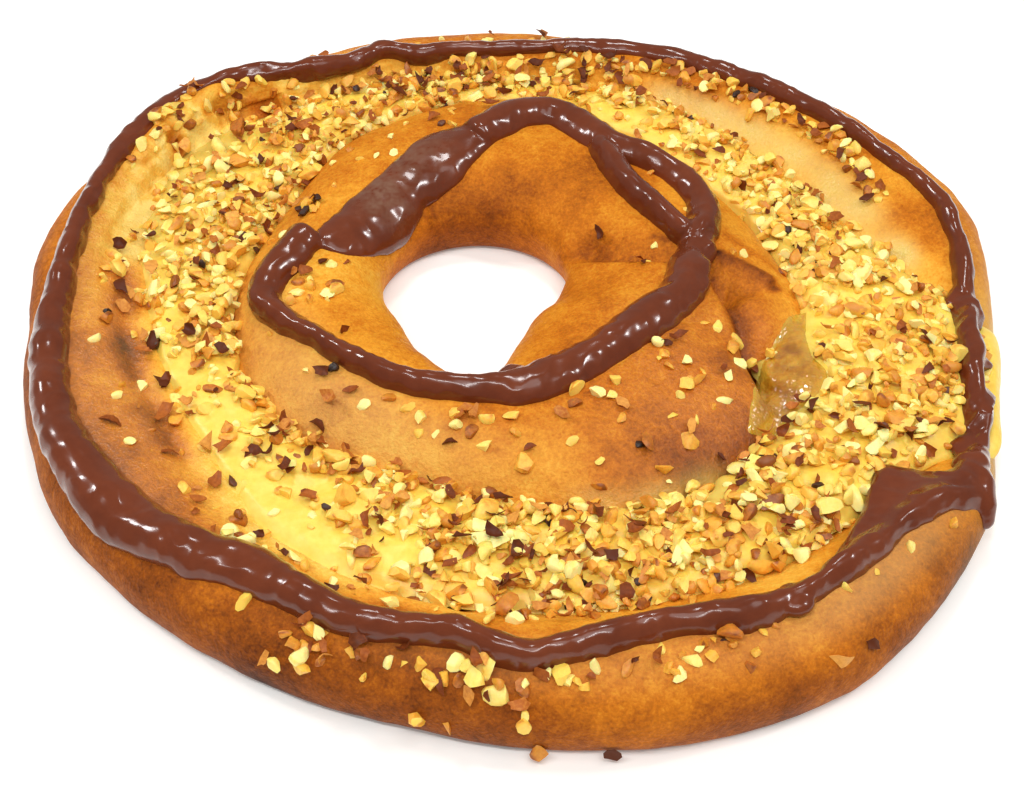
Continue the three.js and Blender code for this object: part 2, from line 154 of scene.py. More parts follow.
# Icing lines. Outer: angle, inner radius, outer radius.
OUTER_ICING = [
    (0, 124.8, 132.2), (6, 127, 133.2), (12, 129.6, 135), (19, 130.6, 136), (30, 127, 132),
    (45, 123.6, 130.4), (60, 122.4, 129.6), (75, 121.6, 128.6), (90, 118.6, 124.4), (98, 119, 124.6),
    (104, 118.4, 124), (107.5, 119.4, 125.6), (110.5, 123.5, 129.5), (113.5, 121.5, 128.5),
    (117, 120.5, 126.8), (121, 122.2, 128.6), (132, 133, 139), (140, 139, 145), (148, 135.6, 141.8),
    (158, 131.4, 137), (168, 127.8, 134.4), (178, 125.6, 133.4), (187, 125.2, 134.4), (196, 125.4, 135.8),
    (204, 125.4, 136.8), (210, 123.6, 136.8), (217, 121.6, 136.6), (221, 120.6, 136.2), (226, 119, 133),
    (230, 117.2, 131), (233, 115.4, 130), (237, 113.6, 127.2), (242, 115, 126.6), (248, 117.2, 127.2),
    (254, 119, 127.6), (262.5, 118.8, 126), (268, 122.4, 130.3), (272.5, 124, 130.8), (279, 121.6, 129.6),
    (285, 121, 128.4), (290, 122.4, 129.4), (294, 124.4, 132.6), (298, 125.4, 132.8), (301.5, 126.8, 132),
    (305, 126, 132), (309.5, 124.5, 132.4), (315, 124, 131.4), (320, 126, 132.5), (325, 127.5, 135),
    (329, 129.5, 138), (332, 130, 138.5), (335, 130, 137), (338, 129.2, 135.6), (342.5, 126.6, 134.6),
    (348, 124.2, 133.2), (354, 123.8, 132.2),
]
# Inner line from the left stroke to the back, and the second strand at the back right: x, y, width.
INNER_ICING = [
    (-60.5, 22.5, 12), (-66, 11.5, 11.5), (-70.5, 1.5, 10.5), (-69.8, -7, 8.5), (-63.5, -14.5, 7),
    (-54.2, -22.6, 6.5), (-43.6, -32, 6.7), (-30.3, -39.9, 7), (-16, -43.4, 7.4), (-6, -43.6, 8.8),
    (1, -42.6, 13), (13, -36.3, 13.4), (25, -26.5, 12.5), (37, -14.5, 13.5), (46, -3, 13), (49.5, 10, 12),
    (53.4, 23, 10.9), (55.4, 35.5, 9.6), (52.2, 47, 9), (45.4, 54.8, 8.2), (38, 60.2, 8.8),
    (29.5, 65, 10.5), (21, 74.5, 12), (11.5, 82.5, 12), (1, 80.3, 13), (-6, 75, 13.5), (-14, 67.5, 13),
]
INNER_STRAND = [
    (24, 67, 6), (29, 55, 8.5), (32.8, 46, 8.5), (38.3, 38.3, 8.8), (44.5, 29.5, 8), (51, 22, 9),
]
# Smear at the back left that runs down into the hole: upper edge x, y, and lower edge x, y, z.
SMEAR = [
    ((-60, 21), (-59, 16.5, 24.7)), ((-56, 27.5), (-52, 14.8, 23.9)), ((-51, 36), (-45, 17, 20.8)),
    ((-46, 43.5), (-37.8, 24.9, 13.1)), ((-41.6, 49), (-33.8, 31.2, 11.1)),
    ((-37.5, 56), (-30.8, 36.1, 14.1)), ((-33.5, 62.5), (-27.6, 41, 17)),
    ((-29.5, 68.5), (-22.3, 46.6, 19)), ((-24, 71.5), (-16.9, 51.2, 21.1)),
    ((-18.5, 74), (-13.2, 57, 23.4)), ((-13, 77.5), (-9.5, 62, 24.6)), ((-7.5, 82), (-2.9, 68.5, 25.1)),
]
# Pool at the right front: inner and outer edge x, y.
POOL = [
    ((76.5, -97.5), (84, -102)), ((81.5, -89.5), (90.3, -95.7)), ((86.5, -80.5), (96.4, -88.5)),
    ((89.8, -71.5), (100.5, -85.5)), ((93.8, -63.4), (105, -82.5)), ((101, -63), (110, -79)),
    ((108.5, -64.2), (114.5, -77)), ((115, -62), (120, -74.5)),
]
POOL_HEIGHT = 2.4
POOL_TILT = 1.4
POOL_LIP = 1.6
POOL_LIP_AT = 0.82
POOL_LIP_SPREAD = 0.16
POOL_DEPTH = 6.0
# Wet jelly by the ends of the strip: outline x, y.
JELLY = [
    (83, 0), (81.5, -12), (82, -22), (85.5, -29), (83, -37), (75, -45), (66, -52), (60, -53), (61.5, -43),
    (64.5, -32), (67.5, -22), (73, -11), (78, -2),
]
JELLY_DEPTH = 0.9
JELLY_SOFT_STEPS = 5
# Places on it that nuts leave bare: x, y, radius.
JELLY_BARE = [(81, -6, 5), (77, -18, 6.5), (75, -31, 9.5), (68, -44, 6)]
# Icing lines in section
ICING_HEIGHT = 5.6
SMEAR_HEIGHT = 3.2
ICING_SPREAD = 0.15
ICING_SUNK = 1.4
ICING_FULL_WIDTH = 12
ICING_LEAST_WIDTH = 8
ICING_FULLNESS = 1.8
ICING_EDGE = 0.75
ICING_RIPPLE = 0.75
ICING_RIPPLE_LENGTH = 8.5
ICING_PROBE = 6
ICING_SOFT_STEPS = 4
ICING_END_STEPS = 5
WALL_HEIGHT = 13
# Where the outer line is thin, behind the rim, at the back and at the pool: angle, spread, share lost.
THIN_ICING = [(139, 12, 0.6), (76, 36, 0.45), (322, 9, 0.7)]
# Drops and kinks on the icing: x, y, half width, half height.
OUTER_DROPS = [(66, -112, 5.0, 2.6)]
INNER_DROPS = [(48.5, 0.5, 6.2, 3.2), (-0.5, -39.5, 5.4, 2.8)]
# Drip at the rim's open end: points down the wall with a radius each.
DRIP = [(118.5, -60, 17, 4.6), (119.5, -67, 16, 4.4), (120.3, -72.5, 14, 3.6), (121, -75.5, 11, 2.6)]
# Curl on the pool where the line ends: points with a radius each.
CURL = [(118.5, -62, 17, 3.0), (116, -66, 18, 2.6), (112.5, -68, 18.8, 2.2), (108.5, -67.6, 18.8, 1.7)]
# Dull bloom on the smear, its pale tint partly a painted sheen: x, y, radius, amount.
BLOOM_AND_SHEEN = [(-40, 38, 8, 1.0), (-43, 45, 7, 0.8), (-30, 60, 9, 0.75), (-36, 52, 7, 0.5)]

# Fineness of the meshes
RING_STEPS = 700
CUSTARD_STEPS = 560
OUTER_ICING_STEPS = 760
INNER_ICING_STEPS = 460
STRAND_STEPS = 70
SMEAR_STEPS = 60
DROPS_IN_CHAIN = 12
ICING_ACROSS = 13
ICING_VOXEL = 0.00058

# Chopped hazelnuts. Share of the custard that they cover at its inner edge, middle and outer edge.
NUT_COVER = [
    [0.35, 0.30, 0.12, 0.60, 0.90, 0.85, 0.85, 0.65, 0.75, 0.70, 0.50, 0.40],
    [0.70, 0.85, 0.34, 0.85, 0.90, 0.80, 0.70, 0.22, 0.36, 0.90, 0.90, 0.80],
    [0.55, 0.55, 0.70, 0.90, 0.50, 0.12, 0.20, 0.06, 0.08, 0.75, 0.80, 0.65],
]
CUSTARD_TRIES = 7200
# Share of the nuts on the custard that is dark
NUT_DARK = [0.0, 0.05, 0.04, 0.26, 0.28, 0.06, 0.0, 0.20, 0.30, 0.30, 0.22, 0.05]
# Nuts on the crust: angles, radii, number tried, share that is dark.
CRUST_SCATTER = [
    ((22, 66), (115, 124), 110, 0.75), ((66, 112), (109, 119), 160, 0.45),
    ((112, 130), (117, 130), 60, 0.25), ((128, 158), (129, 139), 90, 0.15),
    ((150, 178), (106, 120), 34, 0.35), ((178, 228), (98, 118), 26, 0.70),
    ((228, 300), (105, 117), 80, 0.30), ((246, 300), (126, 134), 80, 0.35),
    ((240, 296), (131, 140), 26, 0.50), ((296, 334), (125, 134), 24, 0.45),
    ((165, 285), (50, 76), 50, 0.50), ((285, 345), (42, 80), 40, 0.40), ((95, 165), (66, 98), 36, 0.40),
    ((10, 60), (36, 70), 14, 0.60), ((335, 365), (112, 128), 50, 0.30), ((74, 106), (124, 130), 14, 0.10),
]
# Bits that stand out one by one: x, y, size, kind.
SINGLE_BITS = [
    (44.8, -57.5, 2.9, "pale"), (27.3, -53.2, 1.9, "pale"), (21.1, -65.6, 1.8, "pale"),
    (24.5, -45.8, 1.8, "pale"), (31.9, -60.7, 1.8, "burnt"), (63.8, -62.1, 2.2, "burnt"),
    (66.5, -60.4, 1.6, "burnt"), (57.4, -61.4, 2.8, "flake"), (-60.5, 34.5, 2.3, "toasted"),
    (-63.2, 36.4, 2.1, "burnt"), (-61.2, 38.2, 2.2, "flake"), (-58.8, 36.8, 1.7, "toasted"),
    (-112.4, 5.6, 2.6, "flake"), (-113.4, -0.8, 2.4, "flake"), (-102.0, -17.3, 2.8, "flake"),
    (-100.2, -15.0, 2.0, "burnt"), (-99.3, 15.2, 2.4, "flake"), (-99.5, 27.7, 2.6, "flake"),
    (-96.5, -31.5, 2.4, "flake"), (-94.0, -30.0, 2.2, "flake"), (-52.3, -48.6, 2.6, "flake"),
    (-40.9, -45.7, 2.4, "pale"), (-49.6, -43.1, 2.6, "flake"), (-29.5, -48.6, 2.2, "pale"),
    (-16.3, -52.3, 2.4, "pale"), (-12.3, -57.7, 2.2, "toasted"), (-0.6, -58.4, 1.8, "toasted"),
    (-68.1, -105.3, 2.2, "pale"), (-46.2, -119.5, 2.4, "toasted"), (-39.0, -120.5, 2.0, "pale"),
    (5.2, -141.5, 3.0, "toasted"), (22.2, -142.0, 2.2, "flake"), (-16.7, -137.4, 2.2, "toasted"),
    (-24.2, -135.3, 2.4, "toasted"), (-66.1, -110.4, 2.2, "toasted"), (-45.5, -122.0, 2.4, "flake"),
    (-38.8, -124.0, 2.3, "toasted"), (-30.5, -126.6, 2.2, "pale"), (-22.4, -128.0, 2.6, "toasted"),
    (-14.7, -128.6, 2.8, "pale"), (-11.1, -134.6, 2.6, "flake"), (-4.4, -135.2, 3.0, "pale"),
    (1.6, -134.6, 2.2, "toasted"), (0.4, -137.0, 2.4, "flake"), (-18.0, -131.5, 2.8, "flake"),
    (11.3, -133.4, 2.4, "pale"), (25.3, -131.0, 2.2, "toasted"), (34.8, -130.4, 2.6, "toasted"),
    (40.1, -128.4, 2.6, "pale"), (45.3, -127.4, 2.4, "toasted"), (97.4, -92.0, 2.4, "pale"),
    (109.6, -83.0, 2.2, "pale"), (76.2, -124.1, 2.4, "flake"), (84.2, -118.7, 2.0, "flake"),
    (-63.6, 6.6, 2.4, "flake"), (-62.2, 2.6, 2.6, "toasted"), (-61.0, -2.6, 2.6, "pale"),
    (-63.2, -6.0, 2.2, "toasted"), (-60.0, 5.0, 2.2, "flake"), (-58.6, -0.6, 2.2, "toasted"),
    (-114.9, 6.5, 2.6, "flake"), (-103.4, -19.2, 2.6, "flake"), (-94.0, -43.2, 3.0, "flake"),
    (-91.0, -45.0, 2.4, "toasted"), (-107.4, -50.3, 2.8, "flake"), (-88.3, -39.8, 2.4, "flake"),
    (-99.5, 18.6, 2.2, "burnt"), (-118.4, 20.4, 2.0, "pale"), (-117.0, 23.0, 2.4, "flake"),
    (-91.5, -17.0, 2.6, "flake"), (-87.0, -19.6, 2.6, "flake"), (-62.4, 33.2, 2.2, "burnt"),
    (-59.4, 38.6, 2.0, "burnt"), (-64.4, 38.6, 2.0, "flake"), (-61.8, 36.0, 2.4, "toasted"),
]
# Sizes and shares of the bits, and how they lie
NUT_SIZE = (1.1, 2.7)
NUT_SIZE_SKEW = 1.2
LARGE_NUT = 1.35
LARGE_NUT_SHARE = 0.09
BURNT_MOST = 1.7
FLAKE_SIZE = (1.0, 2.5)
FLAKE_THICKNESS = 0.16
FLAKE_SHARE = 0.13
BURNT_SHARE = 0.012
TOASTED_SHARE = 0.15
HEAP_LIMIT = 3.0
NUT_SUNK = (0.2, 0.7)
FOOT_BIT_HEIGHT = 3.5

# Camera of the photograph, in millimetres
CAMERA_AT = (-1.1, -381.13, 362.93)
CAMERA_LOOKS_AT = (-1.1, -29.7, 11.5)
SENSOR_WIDTH = 36.0
FOCAL_PIXELS = 1803.3
IMAGE_WIDTH = 1024

# Rows across the dough and the custard, and fineness of the small shapes
HOLE_FOOT_ROWS = 5
HOLE_WALL_ROWS = 22
ROLL_SLOPE_ROWS = 26
RIM_SLOPE_ROWS = 36
RIM_WALL_ROWS = 26
RIM_FOOT_ROWS = 8
UNDERSIDE_ROWS = 6
CUSTARD_TOP_ROWS = 50
SPILL_ROWS = 16
LINE_FINENESS = 6
OUTER_FINENESS = 12
BLOB_RINGS = 8
BLOB_SPOKES = 14
JELLY_RINGS = 24
JELLY_SPOKES = 90
FLAKE_SPOKES = 9
# A quarter turn, a height above all of the part, and the noise's cells and strength
QUARTER_TURN = math.pi / 2
ABOVE_ALL = 100
NOISE_CELLS = 256
NOISE_GAIN = 1.6

# Places across the dough: where a band starts and ends to rise, then to fall.
CRUST_TOP = ((0.6, 1.3), (6.3, 7.0))
ROLL_TOP = ((1.6, 2.2), (3.6, 4.2))
ROLL_SLOPE = ((1.9, 2.4), (2.95, 3.05))
CUSTARD_SIDES = ((2.6, 3.0), (4.25, 4.7))
RIM_SLOPE = ((4.0, 4.2), (4.85, 5.1))
UPPER_WALL = ((4.7, 5.0), (5.2, 5.6))
GAP_SIDE = ((4.8, 5.2), (6.6, 7.2))
GAP_WALL = (4.6, 5.0)
TROUGH_PLACES = (3.3, 3.5, 3.7)
# Shares along a crease where it rises from the skin and sinks back, and where a dark line fades.
LINE_ENDS = ((0, 0.12), (0.88, 1.0))
BROWN_AND_SHADE_LINE_END = (0.9, 1.0)
# Patches of the crust: angle, spread and amount of each, and the band across.
GLOSSY = [([(200, 55, 1)], RIM_SLOPE), ([(325, 30, 0.6)], ROLL_TOP)]
# Paler, greyer patches stand for floury dust with a painted sheen on it.
DUST_AND_SHEEN = [
    ([(226, 44, 1)], ROLL_SLOPE), ([(195, 40, 0.3)], RIM_SLOPE),
    ([(311, 17, 1), (276, 18, 0.4)], UPPER_WALL),
]
# Painted shade and light by the depth of a crease (darker in creases, paler on ridges), the torn wall, and
# the crust under the custard at the gap
CREASE_PAINTED_SHADE = 0.03
CREASE_RANGE = (-3, 2)
TORN_SINK = 1.0
TORN_PALE = 0.30
GAP_EDGE = (0.25, 0.75)
GAP_CALM = 0.8
GAP_WET = 0.8

# Noises that shape and colour the skins: amount, size, seed.
CRUST_RELIEF = [(0.9, 34, 3), (0.4, 12, 4), (0.16, 4.5, 5)]
TORN_RELIEF = [(1.8, 6.5, 6), (1.6, 2.6, 7)]
BROWN_MOTTLE = [(0.10, 26, 8), (0.07, 9, 9), (0.04, 3.5, 10)]
TORN_MOTTLE = [(0.25, 5, 11)]
CUSTARD_SWELL = [(0.8, 15, 21)]
CUSTARD_LUMPS = [(0.9, 7, 22), (0.45, 3.4, 23)]
SPILL_RAGGED = [(1.8, 9, 24)]
CUSTARD_CREEP = [(2.2, 8, 25)]
OUTER_RIPPLE = [(1, ICING_RIPPLE_LENGTH, 31), (0.25, 3.8, 32)]
OUTER_SWELL = [(0.16, 9, 33)]
LINE_RIPPLE = [(1, ICING_RIPPLE_LENGTH, 34), (0.4, 4, 35)]
STRAND_RIPPLE = [(1, ICING_RIPPLE_LENGTH, 36), (0.4, 4, 37)]
POOL_WAVES = [(0.6, 7, 37)]
ICING_WAVES = [(0.30, 8, 38)]
ICING_DENTS = [(0.45, 6, 39)]
BLOOM_AND_SHEEN_STREAKS = [(0.6, 3.0, 41), (0.48, 1.1, 42)]
JELLY_BUMPS = [(0.4, 6, 51), (0.5, 3.0, 52)]

# Custard in section: its share of the way across, its lip, and the part that runs over the side.
CUSTARD_SPAN = (-0.03, 1.02)
CUSTARD_TUCK = 1.2
CUSTARD_UNDERCUT = 2
CREEP_FALL = 4
LIP_RISE = 14
LIP_FALL = 9
LIP_LEAST = 0.1
LUMPS_WHERE_BARE = 0.35
GAP_CUSTARD_UP = 2.5
SPILL_LEAST = 3.5
SPILL_START = 1.5
SPILL_TUCK = 1.5
SPILL_HEM = 2.5
SPILL_CALM = 0.7
SPILL_CALM_FROM = (0.85, 1.0)
CUSTARD_SKIN_END = (1.6, 1.9)
THIN_INSIDE = (0.12, 0.0)
THIN_OUTSIDE = (0.86, 1.0)
# Wet places on it by the jelly: x, y, radius.
CUSTARD_WET = [(72, -24, 13), (73, -42, 9)]

# Icing and jelly in section
ICING_LEAST = 0.5
ICING_UPRIGHT = 0.2
ICING_MIDDLE = 125
ICING_SKIN = 0.12
ICING_SMOOTHING = 0.5
ICING_SMOOTHINGS = 4
SIDES_APART = 40.0
INNER_RIPPLE = 0.6
POOL_LEAST = 0.4
POOL_FULLNESS = 0.4
SMEAR_END = 0.25
SMEAR_FULLNESS = 0.5
DROP_LIFT = 1.6
BLOOM_AND_SHEEN_EVEN = 0.5
JELLY_MIDDLE = 0.02
JELLY_FULLNESS = 4
JELLY_FADE = 3
JELLY_EDGE_SUNK = 0.4
JELLY_SUNK = 1.0

# How the bits are drawn and laid
SCATTER_SEED = 71
CUSTARD_SCATTER = (0.0, 1.03)
CUSTARD_USUAL_WIDTH = 42
BURNT_AT_LEAST = 0.5
BURNT_IN_DARK = 2
FLAKES_AT_LEAST = 0.6
FLAKES_IN_DARK = 3
TOASTED_IN_DARK = 0.5
HEAP_CELL = 6.0
HEAP_CLOSENESS = 0.85
ICING_CLEAR = 0.3
BIT_UPRIGHT = 0.3
BIT_MIDDLE = 0.55
NUT_TILT = 0.35
FLAKE_TILT = 0.5
FLAKE_LIFT = 0.3
# Shape of a chip and of a flake, on a radius of 1
CHIP_SKIN_SIDE = (0.3, 0.2, 0.9)
CHIP_SKIN_DEPTH = 0.02
CHIP_CUTS = (6, 10)
CHIP_CUT_AT = (0.3, 0.68)
CHIP_STRETCH = [(1.0, 1.5), (0.75, 1.1), (0.6, 0.95)]
CHIP_SHARP = math.radians(42)
FLAKE_WOBBLE = (-0.2, 0.2)
FLAKE_REACH = (0.55, 1.2)
FLAKE_LONG = 1.25
FLAKE_NARROW = (0.5, 0.85)
FLAKE_INNER_RING = 0.55
FLAKE_BENDS = [(-0.5, 0.7), (-0.2, 0.9), (-0.4, 0.4)]
FLAKE_SHARP = math.radians(40)

# Colours on screen: place in the ramp, red, green, blue.
CRUST_COLOURS = [
    (0.0, 250, 216, 116), (0.15, 242, 188, 72), (0.34, 226, 150, 40), (0.50, 198, 112, 20),
    (0.66, 152, 78, 14), (0.82, 98, 46, 12), (0.95, 58, 26, 10),
]
CUSTARD_COLOURS = [
    (0.15, 252, 228, 116), (0.45, 246, 206, 80), (0.70, 234, 182, 58), (0.95, 208, 148, 44),
]
JELLY_COLOURS = [(0.3, 142, 82, 12), (0.5, 172, 112, 20), (0.7, 204, 148, 42)]
ICING_COLOURS = [(0.25, 95, 41, 19), (0.55, 107, 48, 23), (0.85, 118, 56, 29)]
PALE_COLOURS = [(0.1, 255, 238, 152), (0.5, 254, 218, 102), (0.85, 244, 184, 66), (1.0, 212, 140, 42)]
TOASTED_COLOURS = [(0.1, 252, 206, 84), (0.5, 236, 168, 52), (0.85, 196, 116, 28), (1.0, 140, 74, 16)]
BURNT_COLOURS = [(0.1, 40, 22, 12), (0.6, 66, 34, 16), (1.0, 104, 54, 24)]
FLAKE_COLOURS = [(0.1, 88, 38, 12), (0.4, 132, 62, 20), (0.7, 178, 98, 34), (1.0, 224, 156, 68)]
FLOOR_COLOURS = [(0.3, 246, 245, 241), (0.7, 249, 248, 244)]
# Chopped nuts: kind, colours, seed, slot.
CHIPS = [
    ("pale", PALE_COLOURS, 81, "nut_kernel"), ("toasted", TOASTED_COLOURS, 82, "nut_kernel"),
    ("burnt", BURNT_COLOURS, 83, "nut_skin"),
]
FLAKE_SEED = 84
# Colours that parts of a skin are turned to
DUST_AND_SHEEN_COLOUR = (200, 178, 124)
WET_CRUST_COLOUR = (222, 190, 96)
THIN_CUSTARD_COLOUR = (226, 190, 92)
WET_CUSTARD_COLOUR = (196, 170, 84)
JELLY_EDGE_COLOUR = (218, 170, 56)
BLOOM_AND_SHEEN_COLOUR = (120, 82, 62)

# Lamps: name, place and width in metres, watts, and the depth of a long one.
LAMPS = [
    ("key", (-0.15, -0.58, 1.08), 1.1, 7.2, 0.05), ("left", (-0.94, 0.34, 0.84), 0.20, 4.2),
    ("right", (0.92, 0.06, 0.97), 0.14, 3.2), ("top", (0.05, 0.42, 1.15), 0.20, 3.0),
    ("fill", (0.30, -0.45, 1.35), 0.8, 4.6),
]
SKY_COLOUR = (1.0, 0.985, 0.96, 1)
SKY_STRENGTH = 0.30
FLOOR_REACH = 14.0
FLOOR_CLEAR = 0.0004


# Numbers round the ring

def mix(a, b, share):
    return a + (b - a) * share


def smooth_step(low, high, value):
    t = np.clip((value - low) / (high - low), 0, 1)
    return t * t * (3 - 2 * t)


def band(value, rise, fall):
    """1 between a rise and a fall, each given by its start and end, and 0 beyond them."""
    return smooth_step(*rise, value) * (1 - smooth_step(*fall, value))


def spline(a, b, c, d, t):
    """A smooth curve through four values, from the second to the third."""
    return b + 0.5 * t * (c - a + t * (2 * a - 5 * b + 4 * c - d + t * (3 * (b - c) + d - a)))


def around(clock, degrees):
    """Smooth periodic value at an angle, through values set evenly round the turn."""
    clock = np.asarray(clock, float)
    place = np.mod(degrees, 360.0) / (360.0 / len(clock))
    first = np.floor(place).astype(int)
    return spline(*(clock[(first + step) % len(clock)] for step in (-1, 0, 1, 2)), place - first)


def apart(degrees, at):
    return np.mod(degrees - at + 180, 360) - 180


def near(degrees, at, spread):
    return np.exp(-((apart(degrees, at) / spread) ** 2))


def within(degrees, at, spread):
    return 1 / (1 + (apart(degrees, at) / spread) ** GAP_SHARPNESS)


def turn_in(steps):
    """The angles of even steps round the ring."""
    return np.arange(steps) * 360 / steps


def outward_at(degrees):
    angle = np.radians(degrees)
    return np.stack([np.cos(angle), np.sin(angle)], -1)


def raised(plan, z=0.0):
    """Points in space above places in plan."""
    return np.column_stack([plan, np.broadcast_to(z, len(plan))])


def noise(points, size, seed):
    """Smooth noise of about -1 to 1 with features of the given size in millimetres."""
    rng = np.random.default_rng(seed)
    table = rng.permutation(NOISE_CELLS)
    slopes = rng.normal(size=(NOISE_CELLS, 3))
    slopes /= np.linalg.norm(slopes, axis=1, keepdims=True)
    cell = points / size
    base = np.floor(cell).astype(int)
    offset = cell - base
    fade = offset ** 3 * (offset * (offset * 6 - 15) + 10)
    total = np.zeros(points.shape[:-1])
    for corner in itertools.product((0, 1), repeat=3):
        x, y, z = np.moveaxis(base + corner, -1, 0)
        hashed = table[(table[(table[x % NOISE_CELLS] + y) % NOISE_CELLS] + z) % NOISE_CELLS]
        weight = np.prod(np.where(corner, fade, 1 - fade), axis=-1)
        total += weight * ((offset - corner) * slopes[hashed]).sum(-1)
    return NOISE_GAIN * total


def waves(points, octaves):
    """Sum of noises, each given as amount, size and seed."""
    return sum(amount * noise(points, size, seed) for amount, size, seed in octaves)


def folds(points, octaves):
    """Sum of noises with sharp valleys, each given as amount, size and seed."""
    return sum(amount * np.abs(noise(points, size, seed)) for amount, size, seed in octaves)


def smooth_path(knots, count):
    """Points along a smooth curve through the knots."""
    knots = np.asarray(knots, float)
    padded = np.vstack([2 * knots[0] - knots[1], knots, 2 * knots[-1] - knots[-2]])
    spans = len(padded) - 3
    place = np.linspace(0, spans, count)
    first = np.minimum(np.floor(place).astype(int), spans - 1)
    return spline(*(padded[first + step] for step in range(4)), (place - first)[:, None])


def line_place(plan, knots):
    """Distance to a curve in plan, whether the point is left of it, and the share of the way along."""
    points = smooth_path(knots, LINE_FINENESS * len(knots))
    distance = np.full(plan.shape[:-1], np.inf)
    left = np.zeros(plan.shape[:-1], bool)
    share = np.zeros(plan.shape[:-1])
    for i, (start, end) in enumerate(zip(points, points[1:])):
        step = end - start
        away = plan - start
        t = np.clip(away @ step / (step @ step), 0, 1)
        gap = np.linalg.norm(away - t[..., None] * step, axis=-1)
        closer = gap < distance
        distance = np.where(closer, gap, distance)
        left = np.where(closer, step[0] * away[..., 1] - step[1] * away[..., 0] > 0, left)
        share = np.where(closer, (i + t) / (len(points) - 1), share)
    return distance, left, share


def spot_sum(plan, spots):
    """Sum of round spots given as x, y, radius and, if there is one, amount."""
    total = np.zeros(plan.shape[:-1])
    for x, y, radius, *amount in spots:
        squared = ((plan - (x, y)) ** 2).sum(-1) / radius ** 2
        total += (amount[0] if amount else 1) * np.exp(-squared)
    return total


# Ring sections

def section(degrees):
    """The ring's main lines at each angle: plan points with the heights that go with them."""
    outward = outward_at(degrees)
    corner = near(degrees, **BACK_CORNER)
    gap = within(degrees, **RIM_GAP)
    torn = near(degrees, **TORN_WALL)
    outer_radius = around(OUTER_RADIUS, degrees) + BACK_CORNER_OUT * corner
    outer_radius += RIGHT_CORNER_OUT * near(degrees, **RIGHT_CORNER)
    for at, spread, amount in OUTLINE_TRIMS:
        outer_radius += amount * near(degrees, at, spread)
    crest_radius = outer_radius - mix(around(RIM_INSET, degrees), GAP_INSET, gap)
    custard_outer = mix(around(CUSTARD_OUTER_RADIUS, degrees), GAP_RADIUS, gap)
    custard_inner = around(CUSTARD_INNER_RADIUS, degrees) + TUCKED_END_IN * near(degrees, **TUCKED_END)
    hole = HOLE_CENTRE + outward * around(HOLE_RADIUS, degrees)[..., None]
    inner = outward * custard_inner[..., None]
    return SimpleNamespace(
        degrees=degrees, outward=outward, gap=gap, torn=torn, hole=hole, custard_inner=inner,
        roll_crest=mix(hole, inner, ROLL_CREST_SHARE),
        custard_outer=outward * custard_outer[..., None],
        custard_edge=outward * mix(custard_outer, crest_radius, TORN_FLOOR * torn)[..., None],
        rim_crest=outward * crest_radius[..., None],
        outer=outward * outer_radius[..., None],
        roll_height=around(ROLL_HEIGHT, degrees),
        outer_level=mix(CUSTARD_LEVEL, GAP_LEVEL, gap),
        rim_height=mix(around(RIM_HEIGHT, degrees) + BACK_CORNER_UP * corner, GAP_TOP, gap),
        dome=around(CUSTARD_DOME, degrees),
    )


def trough_lines(s, outer_slope):
    """Inner edge, middle and outer edge of the floor under the custard, in plan."""
    return [
        s.custard_inner + s.outward * TROUGH_SLOPE,
        mix(s.custard_inner, s.custard_outer, 0.5),
        s.custard_outer - s.outward * outer_slope,
    ]


class Rows:
    """Rows of points round the ring, each with its place across."""

    def __init__(self):
        self.rows = []
        self.places = []

    def put(self, plan, z, place):
        self.rows.append(raised(plan, z))
        self.places.append(place)

    def put_wall(self, crest, side, widest, height, lean, place):
        """A row of the round wall between a crest and the widest line below it."""
        self.put(mix(crest, side, math.cos(lean)), mix(widest, height, math.sin(lean)), place)

    def put_foot(self, side, inward, widest, lean, place):
        """A row of the round foot below the widest line."""
        inset = FOOT_INSET * (1 - math.cos(lean))
        self.put(side + inward * inset, widest * (1 + math.sin(lean)), place)

    def grid(self):
        return np.stack(self.rows), np.array(self.places)


